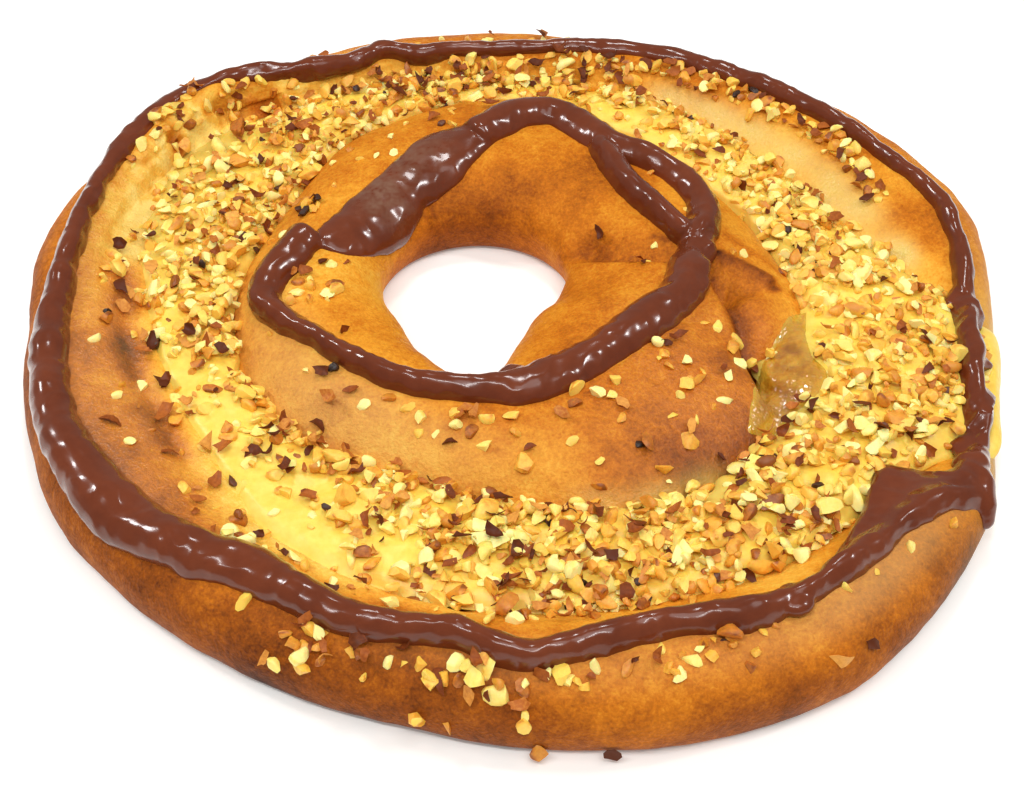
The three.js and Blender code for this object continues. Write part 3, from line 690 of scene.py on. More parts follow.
def dough_rows(s):
    """Rows round the dough's skin, with each row's place across, 0 to 8, hole foot to hole foot."""
    skin = Rows()
    roll_widest = WIDEST_SHARE * s.roll_height
    rim_widest = WIDEST_SHARE * s.rim_height
    for share in np.linspace(0, 1, HOLE_FOOT_ROWS, endpoint=False):
        skin.put_foot(s.hole, s.outward, roll_widest, (share - 1) * QUARTER_TURN, share)
    for share in np.linspace(0, 1, HOLE_WALL_ROWS, endpoint=False):
        skin.put_wall(s.roll_crest, s.hole, roll_widest, s.roll_height, share * QUARTER_TURN, 1 + share)
    for share in np.linspace(0, 1, ROLL_SLOPE_ROWS):
        fall = (1 - math.cos(share * ROLL_STEEPEST)) / (1 - math.cos(ROLL_STEEPEST))
        reach = math.sin(share * ROLL_STEEPEST) / math.sin(ROLL_STEEPEST)
        z = mix(s.roll_height, CUSTARD_LEVEL, fall)
        skin.put(mix(s.roll_crest, s.custard_inner, reach), z, 2 + share)
    for plan, place in zip(trough_lines(s, TROUGH_SLOPE), TROUGH_PLACES):
        skin.put(plan, TROUGH_FLOOR, place)
    for share in np.linspace(0, 1, RIM_SLOPE_ROWS, endpoint=False):
        torn_rise = TORN_LEDGE_RISE * smooth_step(TORN_FLOOR, TORN_LEDGE, share)
        torn_rise += (1 - TORN_LEDGE_RISE) * smooth_step(TORN_LEDGE, 1, share)
        rise = mix(math.sin(share * QUARTER_TURN), torn_rise, s.torn)
        z = mix(s.outer_level, s.rim_height, rise)
        skin.put(mix(s.custard_outer, s.rim_crest, share), z, 4 + share)
    for share in np.linspace(0, 1, RIM_WALL_ROWS, endpoint=False):
        lean = (1 - share) * QUARTER_TURN
        skin.put_wall(s.rim_crest, s.outer, rim_widest, s.rim_height, lean, 5 + share)
    for share in np.linspace(0, 1, RIM_FOOT_ROWS):
        skin.put_foot(s.outer, -s.outward, rim_widest, -share * QUARTER_TURN, 6 + share)
    for share in np.linspace(0, 1, UNDERSIDE_ROWS)[1:-1]:
        foot = s.outer - s.outward * FOOT_INSET
        skin.put(mix(foot, s.hole + s.outward * FOOT_INSET, share), 0.0, 7 + share)
    return skin.grid()


def grid_normals(points):
    """Outward normals of a grid that closes both ways."""
    along = np.roll(points, -1, 1) - np.roll(points, 1, 1)
    across = np.roll(points, -1, 0) - np.roll(points, 1, 0)
    normals = np.cross(across, along)
    lengths = np.linalg.norm(normals, axis=-1, keepdims=True)
    return normals / np.maximum(lengths, 1e-9)


def grid_faces(rows, steps):
    """Quads of a grid that closes both ways."""
    i, j = np.meshgrid(np.arange(rows), np.arange(steps), indexing="ij")
    k, m = (i + 1) % rows, (j + 1) % steps
    return np.stack([i * steps + j, k * steps + j, k * steps + m, i * steps + m], -1).reshape(-1, 4)


# Dough

def crease_heights(plan):
    """Height of the creases and ridges in the crust."""
    total = np.zeros(plan.shape[:-1])
    for knots, height, left_spread, right_spread in CRUST_LINES:
        distance, left, share = line_place(plan, knots)
        spread = np.where(left, left_spread, right_spread)
        total += height * band(share, *LINE_ENDS) * np.exp(-((distance / spread) ** 2))
    return total


def crust_points(even, place, creases, s):
    """The even form with relief, torn wall and creases, sunk at the gap for the custard there."""
    relief = waves(even, CRUST_RELIEF)
    relief += band(place, *RIM_SLOPE) * s.torn * (folds(even, TORN_RELIEF) - TORN_SINK)
    over = smooth_step(*GAP_EDGE, s.gap) * smooth_step(*GAP_WALL, place)
    top = band(place, *CRUST_TOP)
    amount = top * (relief + creases) * (1 - GAP_CALM * over) - SPILL_CLEAR * over * top
    points = even + grid_normals(even) * amount[..., None]
    points[..., 2] = np.maximum(points[..., 2], 0)
    return points


def crust_browning_and_shade(points, plan, places, creases, s):
    """How browned each point of the crust is, with painted shade added in creases, grooves and the pit, and
    ridges painted paler.
    """
    lists = np.stack([around(clock, s.degrees) for clock in BROWNING + BROWNING[:1]])
    low = np.minimum(np.floor(places).astype(int), len(lists) - 2)
    browned_and_shaded = mix(lists[low], lists[low + 1], smooth_step(0, 1, places - low)[:, None])
    browned_and_shaded += waves(points, BROWN_MOTTLE)
    # The spots add browning, and painted shade in the pit. The creases add painted shade, darker down in a
    # crease and paler up on a ridge.
    browned_and_shaded += spot_sum(plan, BROWN_AND_SHADE_SPOTS) - CREASE_PAINTED_SHADE * np.clip(creases, *CREASE_RANGE)
    # The lines add browning, and painted shade along the grooves and the cavity.
    for knots, spread, extra in BROWN_AND_SHADE_LINES:
        distance, _, share = line_place(plan, knots)
        browned_and_shaded += extra * np.exp(-((distance / spread) ** 2)) * (1 - smooth_step(*BROWN_AND_SHADE_LINE_END, share))
    torn = s.torn * band(places[:, None], *RIM_SLOPE)
    return browned_and_shaded - torn * (TORN_PALE + waves(points, TORN_MOTTLE))


def patches(degrees, place, rows):
    """Soft patches round the ring, each row kept to a band across the dough."""
    return [
        sum(amount * near(degrees, at, spread) for at, spread, amount in spots) * band(place, *across)
        for spots, across in rows
    ]


def dough_shape():
    """The dough's points, with the browning and painted shade, the wetness, the gloss, and the dust with
    painted sheen of each one.
    """
    s = section(turn_in(RING_STEPS))
    even, places = dough_rows(s)
    plan, place = even[..., :2], places[:, None]
    creases = crease_heights(plan)
    points = crust_points(even, place, creases, s)
    wet = spot_sum(plan, WET_SPOTS) * band(place, *CUSTARD_SIDES)
    return points, dict(
        browned_and_shaded=crust_browning_and_shade(points, plan, places, creases, s),
        wet=np.maximum(wet, GAP_WET * s.gap * band(place, *GAP_SIDE)),
        glossy=np.clip(sum(patches(s.degrees, place, GLOSSY)), 0, 1),
        dust_and_sheen=np.maximum.reduce(patches(s.degrees, place, DUST_AND_SHEEN)),
    )


# Custard

def nut_cover(degrees, share):
    """Share of the custard that nuts cover, by angle and by share of the way across it."""
    inner, middle, outer = (around(clock, degrees) for clock in NUT_COVER)
    share = np.clip(share, 0, 1)
    return np.where(share < 0.5, mix(inner, middle, 2 * share), mix(middle, outer, 2 * share - 1))


def put_custard_top(skin, s):
    """Rows over the top of the custard, from the roll to its outer edge."""
    start, end = CUSTARD_SPAN
    creep = waves(raised(s.custard_inner), CUSTARD_CREEP)
    edge_level = mix(CUSTARD_LEVEL, GAP_LEVEL + GAP_CUSTARD_UP, s.gap)
    for share in np.linspace(start, end, CUSTARD_TOP_ROWS):
        inside = np.clip(share, 0, 1)
        level = mix(CUSTARD_LEVEL, edge_level, inside ** CUSTARD_EDGE_FALL)
        dome = s.dome * math.sin(inside * math.pi) ** DOME_FULLNESS
        lip = CUSTARD_LIP * min(1, LIP_RISE * (share - start), LIP_LEAST + LIP_FALL * max(0, 1.0 - share))
        inward = s.outward * (creep * (1 - inside) ** CREEP_FALL)[:, None]
        z = level + lip + dome - CUSTARD_TUCK * (share < 0)
        skin.put(mix(s.custard_inner, s.custard_edge, share) - inward, z, share)


def put_custard_side(skin, s, over):
    """Rows past the outer edge, which sinks into the rim and at the gap runs over the side."""
    outer_radius = np.linalg.norm(s.outer, axis=-1)
    edge_radius = np.linalg.norm(s.custard_edge, axis=-1)
    foot = mix(SPILL_TOP - SPILL_LEAST, SPILL_FOOT, near(s.degrees, **SPILL_DROP))
    foot += waves(raised(s.outer), SPILL_RAGGED)
    for share in np.linspace(0, 1, SPILL_ROWS)[1:]:
        fall = min(share / SPILL_BEND, 1) * QUARTER_TURN
        tuck = max(share - SPILL_BEND, 0) / (1 - SPILL_BEND) * math.pi
        spill_radius = mix(edge_radius + SPILL_START, outer_radius + SPILL_PROUD, math.sin(fall))
        spill_radius -= SPILL_TUCK * (1 - math.cos(tuck))
        spill_z = mix(SPILL_TOP, foot + SPILL_HEM, 1 - math.cos(fall))
        spill_z -= SPILL_HEM * math.sin(min(tuck, QUARTER_TURN))
        radius = mix(edge_radius - TROUGH_SLOPE * share, spill_radius, over)
        z = mix(mix(s.outer_level, TROUGH_FLOOR, share), spill_z, over)
        skin.put(s.outward * radius[:, None], z, 1 + share)


def custard_rows(s, over):
    """Rows round the custard's skin, with each row's share of the way across."""
    skin = Rows()
    put_custard_top(skin, s)
    put_custard_side(skin, s, over)
    for plan in reversed(trough_lines(s, TROUGH_SLOPE + CUSTARD_UNDERCUT)):
        skin.put(plan, TROUGH_FLOOR, 2)
    return skin.grid()


def custard_shape():
    """The custard's points, with how far nuts cover each one, how thin it lies and how wet it is."""
    s = section(turn_in(CUSTARD_STEPS))
    over = smooth_step(*SPILL_TAPER, s.gap)
    points, shares = custard_rows(s, over)
    share = shares[:, None]
    cover = nut_cover(np.broadcast_to(s.degrees, points.shape[:2]), share)
    lumps = waves(points, CUSTARD_SWELL) + mix(LUMPS_WHERE_BARE, 1, cover) * waves(points, CUSTARD_LUMPS)
    lumps *= 1 - SPILL_CALM * over * smooth_step(*SPILL_CALM_FROM, share)
    lumps *= 1 - smooth_step(*CUSTARD_SKIN_END, share)
    points = points + grid_normals(points) * lumps[..., None]
    thin = smooth_step(*THIN_INSIDE, share) + smooth_step(*THIN_OUTSIDE, share) * (1 - s.gap)
    wet = np.clip(spot_sum(points[..., :2], WET_SPOTS + CUSTARD_WET), 0, 1)
    return points, dict(cover=cover, thin=np.clip(thin, 0, 1), wet=wet)


# Meshes and trees

def joined(skins):
    """Corners and faces of several skins as one list each."""
    corners, faces = [], []
    for points, own in skins:
        faces += [[index + len(corners) for index in face] for face in own]
        corners += np.reshape(points, (-1, 3)).tolist()
    return corners, faces


def to_metres(points):
    return (np.reshape(points, (-1, 3)) - BOX_CENTRE) * MM


def new_mesh(name, corners, faces):
    mesh = bpy.data.meshes.new(name)
    mesh.from_pydata(corners, [], faces)
    return mesh


def linked(name, data):
    """A new object in the scene."""
    thing = bpy.data.objects.new(name, data)
    bpy.context.scene.collection.objects.link(thing)
    return thing


def new_piece(name, corners, faces, material, stands_for=(), values=None, sharp=None):
    """A finished mesh that rides with the part. Corners are in metres."""
    mesh = new_mesh(name, corners.tolist(), faces.tolist())
    mesh.polygons.foreach_set("use_smooth", np.ones(len(mesh.polygons), bool))
    for key, value in (values or {}).items():
        layer = mesh.attributes.new(key, "FLOAT", "POINT")
        layer.data.foreach_set("value", np.asarray(value, np.float32).ravel())
    if sharp is not None:
        mesh.set_sharp_from_angle(angle=sharp)
    mesh.materials.append(material)
    piece = linked(name, mesh)
    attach(piece, "root")
    if stands_for:
        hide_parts(*stands_for)


def add_ring():
    """Dough and custard. Gives a search tree of both."""
    rings = (
        ("dough_crust", "dough", dough_shape(), crust_material()),
        ("custard_band", "custard", custard_shape(), custard_material()),
    )
    skins = []
    for name, node, (points, values), material in rings:
        faces = grid_faces(*points.shape[:2])
        new_piece(name, to_metres(points), faces, material, [node], values)
        skins.append((points, faces.tolist()))
    return BVHTree.FromPolygons(*joined(skins))


# Icing

def drop_on(tree, x, y):
    """The point straight below a place and the normal there, or None twice."""
    hit, normal, _, _ = tree.ray_cast(Vector((x, y, ABOVE_ALL)), Vector((0, 0, -1)))
    return hit, normal


def rest_on(tree, x, y):
    """The point below a place, or on the wall beside it where the place is past the outline."""
    hit, _ = drop_on(tree, x, y)
    return tuple(hit or tree.find_nearest(Vector((x, y, WALL_HEIGHT)))[0])


def icing_height(width):
    return ICING_HEIGHT * min(1, math.sqrt(ICING_FULL_WIDTH / width), width / ICING_LEAST_WIDTH)


def soften_along(values, closed, reach):
    """Values averaged with their neighbours along the first axis."""
    padding = [(reach, reach)] + [(0, 0)] * (values.ndim - 1)
    padded = np.pad(values, padding, mode="wrap" if closed else "edge")
    window = range(2 * reach + 1)
    return sum(padded[k:k + len(values)] for k in window) / len(window)


def edge_normals(tree, edge, closed):
    normals = np.array([tuple(tree.find_nearest(Vector(place))[1]) for place in edge])
    return soften_along(normals + (0, 0, ICING_UPRIGHT), closed, ICING_SOFT_STEPS)


def ribbon(tree, lefts, rights, heights, closed):
    """A closed skin of icing draped between two edges."""
    left_ups, right_ups = (edge_normals(tree, edge, closed) for edge in (lefts, rights))
    bases, aways = [], []
    for left, right, left_up, right_up in zip(lefts, rights, left_ups, right_ups):
        for share in np.linspace(0, 1, ICING_ACROSS):
            up = Vector(mix(left_up, right_up, share)).normalized()
            probe = Vector(left).lerp(Vector(right), share) + up * ICING_PROBE
            base = tree.find_nearest(probe)[0]
            bases.append(tuple(base))
            aways.append(tuple((probe - base).normalized()))
    shape = (len(lefts), ICING_ACROSS, 3)
    bases = soften_along(np.reshape(bases, shape), closed, 1)
    bases[..., 2] = soften_along(bases[..., 2], closed, ICING_SOFT_STEPS)
    aways = soften_along(np.reshape(aways, shape), closed, ICING_SOFT_STEPS)
    from_ridge = np.abs(np.linspace(-1, 1, ICING_ACROSS))
    bulge = (1 - from_ridge ** ICING_FULLNESS) ** ICING_EDGE
    thick = ICING_LEAST + np.asarray(heights)[:, None] * bulge
    if not closed:
        steps = np.minimum(np.arange(len(lefts)), np.arange(len(lefts))[::-1])
        roundness = np.sqrt(1 - (1 - np.clip((steps + 0.5) / ICING_END_STEPS, 0, 1)) ** 2)[:, None]
        middle = bases.mean(1, keepdims=True)
        bases = middle + (bases - middle) * roundness[..., None]
        thick = thick * roundness
    return strip(bases + aways * thick[..., None], bases - aways * ICING_SUNK, closed)


def strip(tops, bottoms, closed):
    """Corners and faces of a closed skin between rows of top points and of bottom points."""
    points = np.concatenate([tops, bottoms[:, ::-1]], 1)
    steps, count = points.shape[:2]
    faces = grid_faces(steps, count).tolist()
    if not closed:
        last = (steps - 1) * count
        faces = faces[:-count] + [list(range(count)), list(range(last, last + count))[::-1]]
    return points.reshape(-1, 3), faces


def outer_edges(tree):
    """Left and right edges and heights of the outer line, with rippled sides."""
    turned = [(a + 360 * turn, i, o) for turn in (-1, 0, 1) for a, i, o in OUTER_ICING]
    dense = smooth_path(turned, OUTER_FINENESS * len(turned))
    angles = turn_in(OUTER_ICING_STEPS)
    outward = outward_at(angles)
    middle = outward * ICING_MIDDLE
    sides = []
    for side in (0, 1):
        ripple = ICING_RIPPLE * waves(raised(middle, SIDES_APART * side), OUTER_RIPPLE)
        radii = np.interp(angles, dense[:, 0], dense[:, 1 + side])
        radii = radii + ripple + ICING_SPREAD * (2 * side - 1)
        sides.append([rest_on(tree, *place) for place in outward * radii[:, None]])
    swell = 1 + waves(raised(middle), OUTER_SWELL)
    for at, spread, lost in THIN_ICING:
        swell *= 1 - lost * near(angles, at, spread)
    heights = [grow * icing_height(math.dist(*ends)) for grow, *ends in zip(swell, *sides)]
    return *sides, heights


def line_edges(tree, knots, steps, octaves):
    """Left and right edges and heights of a line with a width at each knot."""
    path = smooth_path(knots, steps)
    plan, widths = path[:, :2], path[:, 2]
    heading = np.gradient(plan, axis=0)
    heading /= np.linalg.norm(heading, axis=1, keepdims=True)
    leftward = np.stack([-heading[:, 1], heading[:, 0]], -1)
    sides = []
    for sign in (1, -1):
        ripple = INNER_RIPPLE * ICING_RIPPLE * waves(raised(plan, SIDES_APART * sign), octaves)
        reach = sign * (widths / 2 + ripple + ICING_SPREAD)
        sides.append([rest_on(tree, *place) for place in plan + reach[:, None] * leftward])
    return *sides, [icing_height(width) for width in widths]


def smear_edges(tree):
    """Edges and heights of the smear that runs down the wall of the hole."""
    upper, lower = (smooth_path(edge, SMEAR_STEPS) for edge in zip(*SMEAR))
    lefts = [tuple(drop_on(tree, *place)[0]) for place in upper]
    rights = [tuple(tree.find_nearest(Vector(place))[0]) for place in lower]
    swell = np.sin(np.linspace(SMEAR_END, math.pi - SMEAR_END, SMEAR_STEPS))
    return lefts, rights, SMEAR_HEIGHT * swell ** SMEAR_FULLNESS


def pool(tree):
    """A sheet of icing between two edges that clears what lies under it, with a thick wavy outer lip."""
    inner, outer = (smooth_path(edge, SMEAR_STEPS) for edge in zip(*POOL))
    across = np.linspace(0, 1, ICING_ACROSS)
    bases = []
    for first, last in zip(inner, outer):
        row = [rest_on(tree, *mix(first, last, share)) for share in across]
        bases.append([(x, y, max(z, row[-1][2] - POOL_TILT)) for x, y, z in row])
    bases = np.array(bases)
    bases[..., 2] = soften_along(bases[..., 2], False, ICING_SOFT_STEPS)
    wavy = (1 + waves(raised(outer), POOL_WAVES))[:, None]
    lip = POOL_LIP * wavy * np.exp(-((across - POOL_LIP_AT) / POOL_LIP_SPREAD) ** 2)
    swell = POOL_LEAST + POOL_HEIGHT * np.sin(across * math.pi) ** POOL_FULLNESS + lip
    return strip(bases + swell[..., None] * (0, 0, 1), bases - (0, 0, POOL_DEPTH), False)


def blob(centre, half_width, half_height):
    """A round drop: corners and faces of a squashed sphere."""
    tilt = np.pi * np.arange(1, BLOB_RINGS)[:, None] / BLOB_RINGS
    turn = 2 * np.pi * np.arange(BLOB_SPOKES) / BLOB_SPOKES
    sides = np.broadcast_arrays(np.sin(tilt) * np.cos(turn), np.sin(tilt) * np.sin(turn), np.cos(tilt))
    unit = np.vstack([(0, 0, 1), np.stack(sides, -1).reshape(-1, 3), (0, 0, -1)])
    last = len(unit) - 1
    below = last - BLOB_SPOKES
    pairs = [(j, (j + 1) % BLOB_SPOKES) for j in range(BLOB_SPOKES)]
    faces = [[0, 1 + j, 1 + k] for j, k in pairs]
    faces += (1 + grid_faces(BLOB_RINGS - 1, BLOB_SPOKES)[:-BLOB_SPOKES]).tolist()
    faces += [[last, below + k, below + j] for j, k in pairs]
    return unit * (half_width, half_width, half_height) + centre, faces


def drops(tree, places):
    """Round drops on the skin below the given places."""
    return [
        blob((x, y, drop_on(tree, x, y)[0].z + DROP_LIFT), half_width, half_height)
        for x, y, half_width, half_height in places
    ]


def chain(knots):
    """Overlapping drops along a curve through points with a radius each."""
    return [blob(place, size, size) for *place, size in smooth_path(knots, DROPS_IN_CHAIN)]


def on_skin(tree, knots):
    """Points with a radius each, moved to the nearest place on the skin."""
    return [(*tree.find_nearest(Vector(place))[0], size) for *place, size in knots]


def fused(parts):
    """One smooth, softly dented skin round several overlapping closed skins, in metres."""
    corners, faces = joined(parts)
    body = linked("fused", new_mesh("fused", to_metres(corners).tolist(), faces))
    remesh = body.modifiers.new("remesh", "REMESH")
    remesh.mode = "VOXEL"
    remesh.voxel_size = ICING_VOXEL
    soften = body.modifiers.new("soften", "SMOOTH")
    soften.factor = ICING_SMOOTHING
    soften.iterations = ICING_SMOOTHINGS
    graph = bpy.context.evaluated_depsgraph_get()
    result = bpy.data.meshes.new_from_object(body.evaluated_get(graph))
    bpy.data.objects.remove(body)
    points, normals = np.zeros((2, len(result.vertices) * 3))
    result.vertices.foreach_get("co", points)
    result.vertex_normals.foreach_get("vector", normals)
    points = points.reshape(-1, 3)
    dents = waves(points / MM, ICING_WAVES) - folds(points / MM, ICING_DENTS) + ICING_SKIN
    points = points + normals.reshape(-1, 3) * dents[:, None] * MM
    return points, np.array([tuple(face.vertices) for face in result.polygons])


def bloom_and_sheen_on(points):
    """Dull bloom on the smear with a painted sheen in it, by place."""
    plan = points[:, :2] / MM + BOX_CENTRE[:2]
    streaks = waves(points / MM, BLOOM_AND_SHEEN_STREAKS)
    return np.clip(spot_sum(plan, BLOOM_AND_SHEEN) * (BLOOM_AND_SHEEN_EVEN + streaks), 0, 1)


def add_icing(ground):
    """Both icing lines. Gives a search tree of them."""
    outer_parts = [ribbon(ground, *outer_edges(ground), True), *drops(ground, OUTER_DROPS), pool(ground)]
    outer_parts += chain(on_skin(ground, DRIP)) + chain(CURL)
    inner_parts = [
        ribbon(ground, *line_edges(ground, INNER_ICING, INNER_ICING_STEPS, LINE_RIPPLE), False),
        ribbon(ground, *line_edges(ground, INNER_STRAND, STRAND_STEPS, STRAND_RIPPLE), False),
        ribbon(ground, *smear_edges(ground), False),
        *drops(ground, INNER_DROPS),
    ]
    material = icing_material()
    skins = []
    for node, parts in (("icing_outer", outer_parts), ("icing_inner", inner_parts)):
        points, faces = fused(parts)
        new_piece(node + "_line", points, faces, material, [node], dict(bloom_and_sheen=bloom_and_sheen_on(points)))
        skins.append((points / MM + BOX_CENTRE, faces.tolist()))
    return BVHTree.FromPolygons(*joined(skins))


# Jelly

def add_jelly(tree):
    """A thin wet patch that levels the dip it lies in."""
    outline = smooth_path(JELLY + JELLY[:1], JELLY_SPOKES + 1)[:-1]
    middle = outline.mean(0)
    shares = np.linspace(JELLY_MIDDLE, 1, JELLY_RINGS)
    rings = [mix(middle, outline, share) for share in shares]
    bases = np.array([[tuple(drop_on(tree, *place)[0]) for place in ring] for ring in rings])
    heights = bases[..., 2]
    level = soften_along(heights.T, True, JELLY_SOFT_STEPS)
    level = soften_along(level.T, False, JELLY_SOFT_STEPS)
    tops = bases * (1, 1, 0)
    wet_top = np.maximum(level, heights) + JELLY_DEPTH * (1 + waves(tops, JELLY_BUMPS))
    tops[..., 2] = mix(heights - JELLY_EDGE_SUNK, wet_top, (1 - shares ** JELLY_FULLNESS)[:, None])
    points = np.vstack([tops, (bases - (0, 0, JELLY_SUNK))[::-1]])
    fade = np.repeat(np.concatenate([shares ** JELLY_FADE, np.ones(JELLY_RINGS)]), JELLY_SPOKES)
    faces = grid_faces(2 * JELLY_RINGS, JELLY_SPOKES)
    new_piece("jelly", to_metres(points), faces, jelly_material(), values=dict(fade=fade))


# Nuts

class Heap:
    """Bits already laid, so that later ones lie on them and not in them."""

    def __init__(self):
        self.cells = {}

    def key(self, x, y):
        return int(x // HEAP_CELL), int(y // HEAP_CELL)

    def lift(self, x, y, size):
        """How far a bit has to rise to lie on its neighbours."""
        column, row = self.key(x, y)
        lifted = 0.0
        for i, j in itertools.product((-1, 0, 1), repeat=2):
            for other_x, other_y, top, other in self.cells.get((column + i, row + j), ()):
                gap = math.hypot(other_x - x, other_y - y)
                reach = HEAP_CLOSENESS * (size + other)
                if gap < reach:
                    lifted = max(lifted, top * (1 - gap / reach))
        return lifted

    def add(self, x, y, top, size):
        self.cells.setdefault(self.key(x, y), []).append((x, y, top, size))


def turn_to(normal, rng, tilt):
    """Rotation that puts +Z near a normal, with a random spin and tilt."""
    lean = normal.lerp(Vector((0, 0, 1)), BIT_UPRIGHT).normalized()
    base = lean.to_track_quat("Z", "Y").to_matrix()
    spin = Matrix.Rotation(rng.uniform(0, 2 * math.pi), 3, "Z")
    tip = Matrix.Rotation(rng.normal(0, tilt), 3, "X")
    return np.array(base @ spin @ tip)


class Scatter:
    """Lays bits on the ground, clear of the icing, and keeps place, rotation and size of each by kind."""

    def __init__(self, ground, icing):
        self.ground = ground
        self.icing = icing
        self.rng = np.random.default_rng(SCATTER_SEED)
        self.heap = Heap()
        self.laid = dict(pale=[], toasted=[], flake=[], burnt=[])

    def draw(self, dark):
        """Kind and size of a bit, more often a skin or a toasted one where they are dark."""
        rng = self.rng
        size = mix(*NUT_SIZE, rng.random() ** NUT_SIZE_SKEW)
        if rng.random() < LARGE_NUT_SHARE:
            size *= LARGE_NUT
        pick = rng.random()
        if pick < BURNT_SHARE * (BURNT_AT_LEAST + BURNT_IN_DARK * dark):
            return "burnt", min(size, BURNT_MOST)
        if pick < (FLAKE_SHARE + BURNT_SHARE) * (FLAKES_AT_LEAST + FLAKES_IN_DARK * dark):
            return "flake", mix(*FLAKE_SIZE, rng.random())
        return ("toasted" if rng.random() < TOASTED_SHARE + TOASTED_IN_DARK * dark else "pale"), size

    def lay(self, x, y, kind, size):
        """Lays a bit, unless icing, bare jelly or a high heap is there."""
        hit, normal = drop_on(self.ground, x, y)
        cover, _ = drop_on(self.icing, x, y)
        if hit is None:
            hit, normal, _, _ = self.ground.find_nearest(Vector((x, y, FOOT_BIT_HEIGHT)))
        if cover is not None and cover.z > hit.z - ICING_CLEAR:
            return
        if any(math.dist((x, y), spot[:2]) < spot[2] for spot in JELLY_BARE):
            return
        lifted = self.heap.lift(x, y, size)
        if lifted > HEAP_LIMIT:
            return
        is_flake = kind == "flake"
        sunk = -FLAKE_LIFT if is_flake else self.rng.uniform(*NUT_SUNK) * size
        turn = turn_to(normal, self.rng, FLAKE_TILT if is_flake else NUT_TILT)
        centre = np.array(hit) + np.array(normal) * (BIT_MIDDLE * size - sunk + lifted)
        self.laid[kind].append((centre, turn, size))
        self.heap.add(x, y, lifted + size, size)

    def lay_on_custard(self):
        for _ in range(CUSTARD_TRIES):
            degrees, share = self.rng.uniform(0, 360), self.rng.uniform(*CUSTARD_SCATTER)
            s = section(np.array([degrees]))
            inner, edge = s.custard_inner[0], s.custard_edge[0]
            width = np.linalg.norm(edge - inner) / CUSTARD_USUAL_WIDTH
            if self.rng.random() < width * nut_cover(degrees, share):
                self.lay(*mix(inner, edge, share), *self.draw(around(NUT_DARK, degrees)))

    def lay_on_crust(self):
        for angles, radii, count, dark in CRUST_SCATTER:
            for _ in range(count):
                angle = math.radians(self.rng.uniform(*angles))
                radius = self.rng.uniform(*radii)
                x, y = radius * math.cos(angle), radius * math.sin(angle)
                bit = self.draw(dark)
                if drop_on(self.ground, x, y)[0]:
                    self.lay(x, y, *bit)


def chip_maker():
    """A function that makes one chopped piece, and the triangles of each piece."""
    shape = bmesh.new()
    bmesh.ops.create_icosphere(shape, subdivisions=2, radius=1)
    sphere = np.array([tuple(v.co) for v in shape.verts])
    triangles = np.array([[v.index for v in f.verts] for f in shape.faces])
    shape.free()

    def make(rng, size):
        """A lump cut by flat faces, with the share of skin left at each corner."""
        corners = sphere.copy()
        skin = np.clip(corners @ np.array(CHIP_SKIN_SIDE), 0, 1)
        for _ in range(rng.integers(*CHIP_CUTS)):
            cut_side = rng.normal(size=3)
            cut_side /= np.linalg.norm(cut_side)
            over = np.maximum(corners @ cut_side - rng.uniform(*CHIP_CUT_AT), 0)
            corners = corners - over[:, None] * cut_side
            skin = np.where(over > CHIP_SKIN_DEPTH, 0, skin)
        stretch = np.array([rng.uniform(*ends) for ends in CHIP_STRETCH])
        return size * (corners * stretch), dict(skin=skin)

    return make, triangles


def flake_maker():
    """A function that makes one thin curled flake of skin, and the triangles of each flake."""
    spokes = FLAKE_SPOKES
    count = 1 + 2 * spokes
    ring = [(1 + j, 1 + (j + 1) % spokes) for j in range(spokes)]
    faces = []
    for a, b in ring:
        faces += [(0, a, b), (a, a + spokes, b + spokes), (a, b + spokes, b)]
    faces += [tuple(count + index for index in face[::-1]) for face in faces]
    for a, b in ring:
        c, d = a + spokes, b + spokes
        faces += [(c, c + count, d + count), (c, d + count, d)]

    def make(rng, size):
        """A ragged leaf with two rings, bent along and across, and its underside."""
        angles = np.arange(spokes) * 2 * math.pi / spokes + rng.uniform(*FLAKE_WOBBLE, spokes)
        reach = rng.uniform(*FLAKE_REACH, spokes)
        narrow = rng.uniform(*FLAKE_NARROW)
        edge = np.stack([np.cos(angles) * reach * FLAKE_LONG, np.sin(angles) * reach * narrow], -1)
        x, y = np.vstack([[[0, 0]], FLAKE_INNER_RING * edge, edge]).T
        bends = [rng.uniform(*ends) for ends in FLAKE_BENDS]
        curl = bends[0] * x ** 2 + bends[1] * y ** 2 + bends[2] * x * y
        upper = size * np.column_stack([x, y, curl])
        return np.vstack([upper, upper - np.array([0, 0, FLAKE_THICKNESS])]), {}

    return make, np.array(faces)


def bits_piece(name, laid, seed, maker, material, sharp):
    """One mesh of all bits of a kind, with a tone for each."""
    make, triangles = maker()
    rng = np.random.default_rng(seed)
    corners, rows = [], []
    for centre, turn, size in laid:
        bit, own = make(rng, size)
        corners.append(bit @ turn.T + centre)
        rows.append(dict(own, tone=np.full(len(bit), rng.random())))
    firsts = np.arange(len(laid)) * len(corners[0])
    faces = (firsts[:, None, None] + triangles).reshape(-1, 3)
    values = {key: np.concatenate([row[key] for row in rows]) for key in rows[0]}
    new_piece(name, to_metres(np.vstack(corners)), faces, material, values=values, sharp=sharp)


def add_nuts(ground, icing):
    """The chopped nuts by colour, and the flakes of their skin."""
    scatter = Scatter(ground, icing)
    for x, y, size, kind in SINGLE_BITS:
        scatter.lay(x, y, kind, size)
    scatter.lay_on_custard()
    scatter.lay_on_crust()
    for kind, colours, seed, slot in CHIPS:
        material = kernel_material("nut_" + kind, colours)
        bits_piece("nuts_" + kind, scatter.laid[kind], seed, chip_maker, material, CHIP_SHARP)
    flakes = scatter.laid["flake"]
    bits_piece("nut_skins", flakes, FLAKE_SEED, flake_maker, flake_material(), FLAKE_SHARP)


# Materials

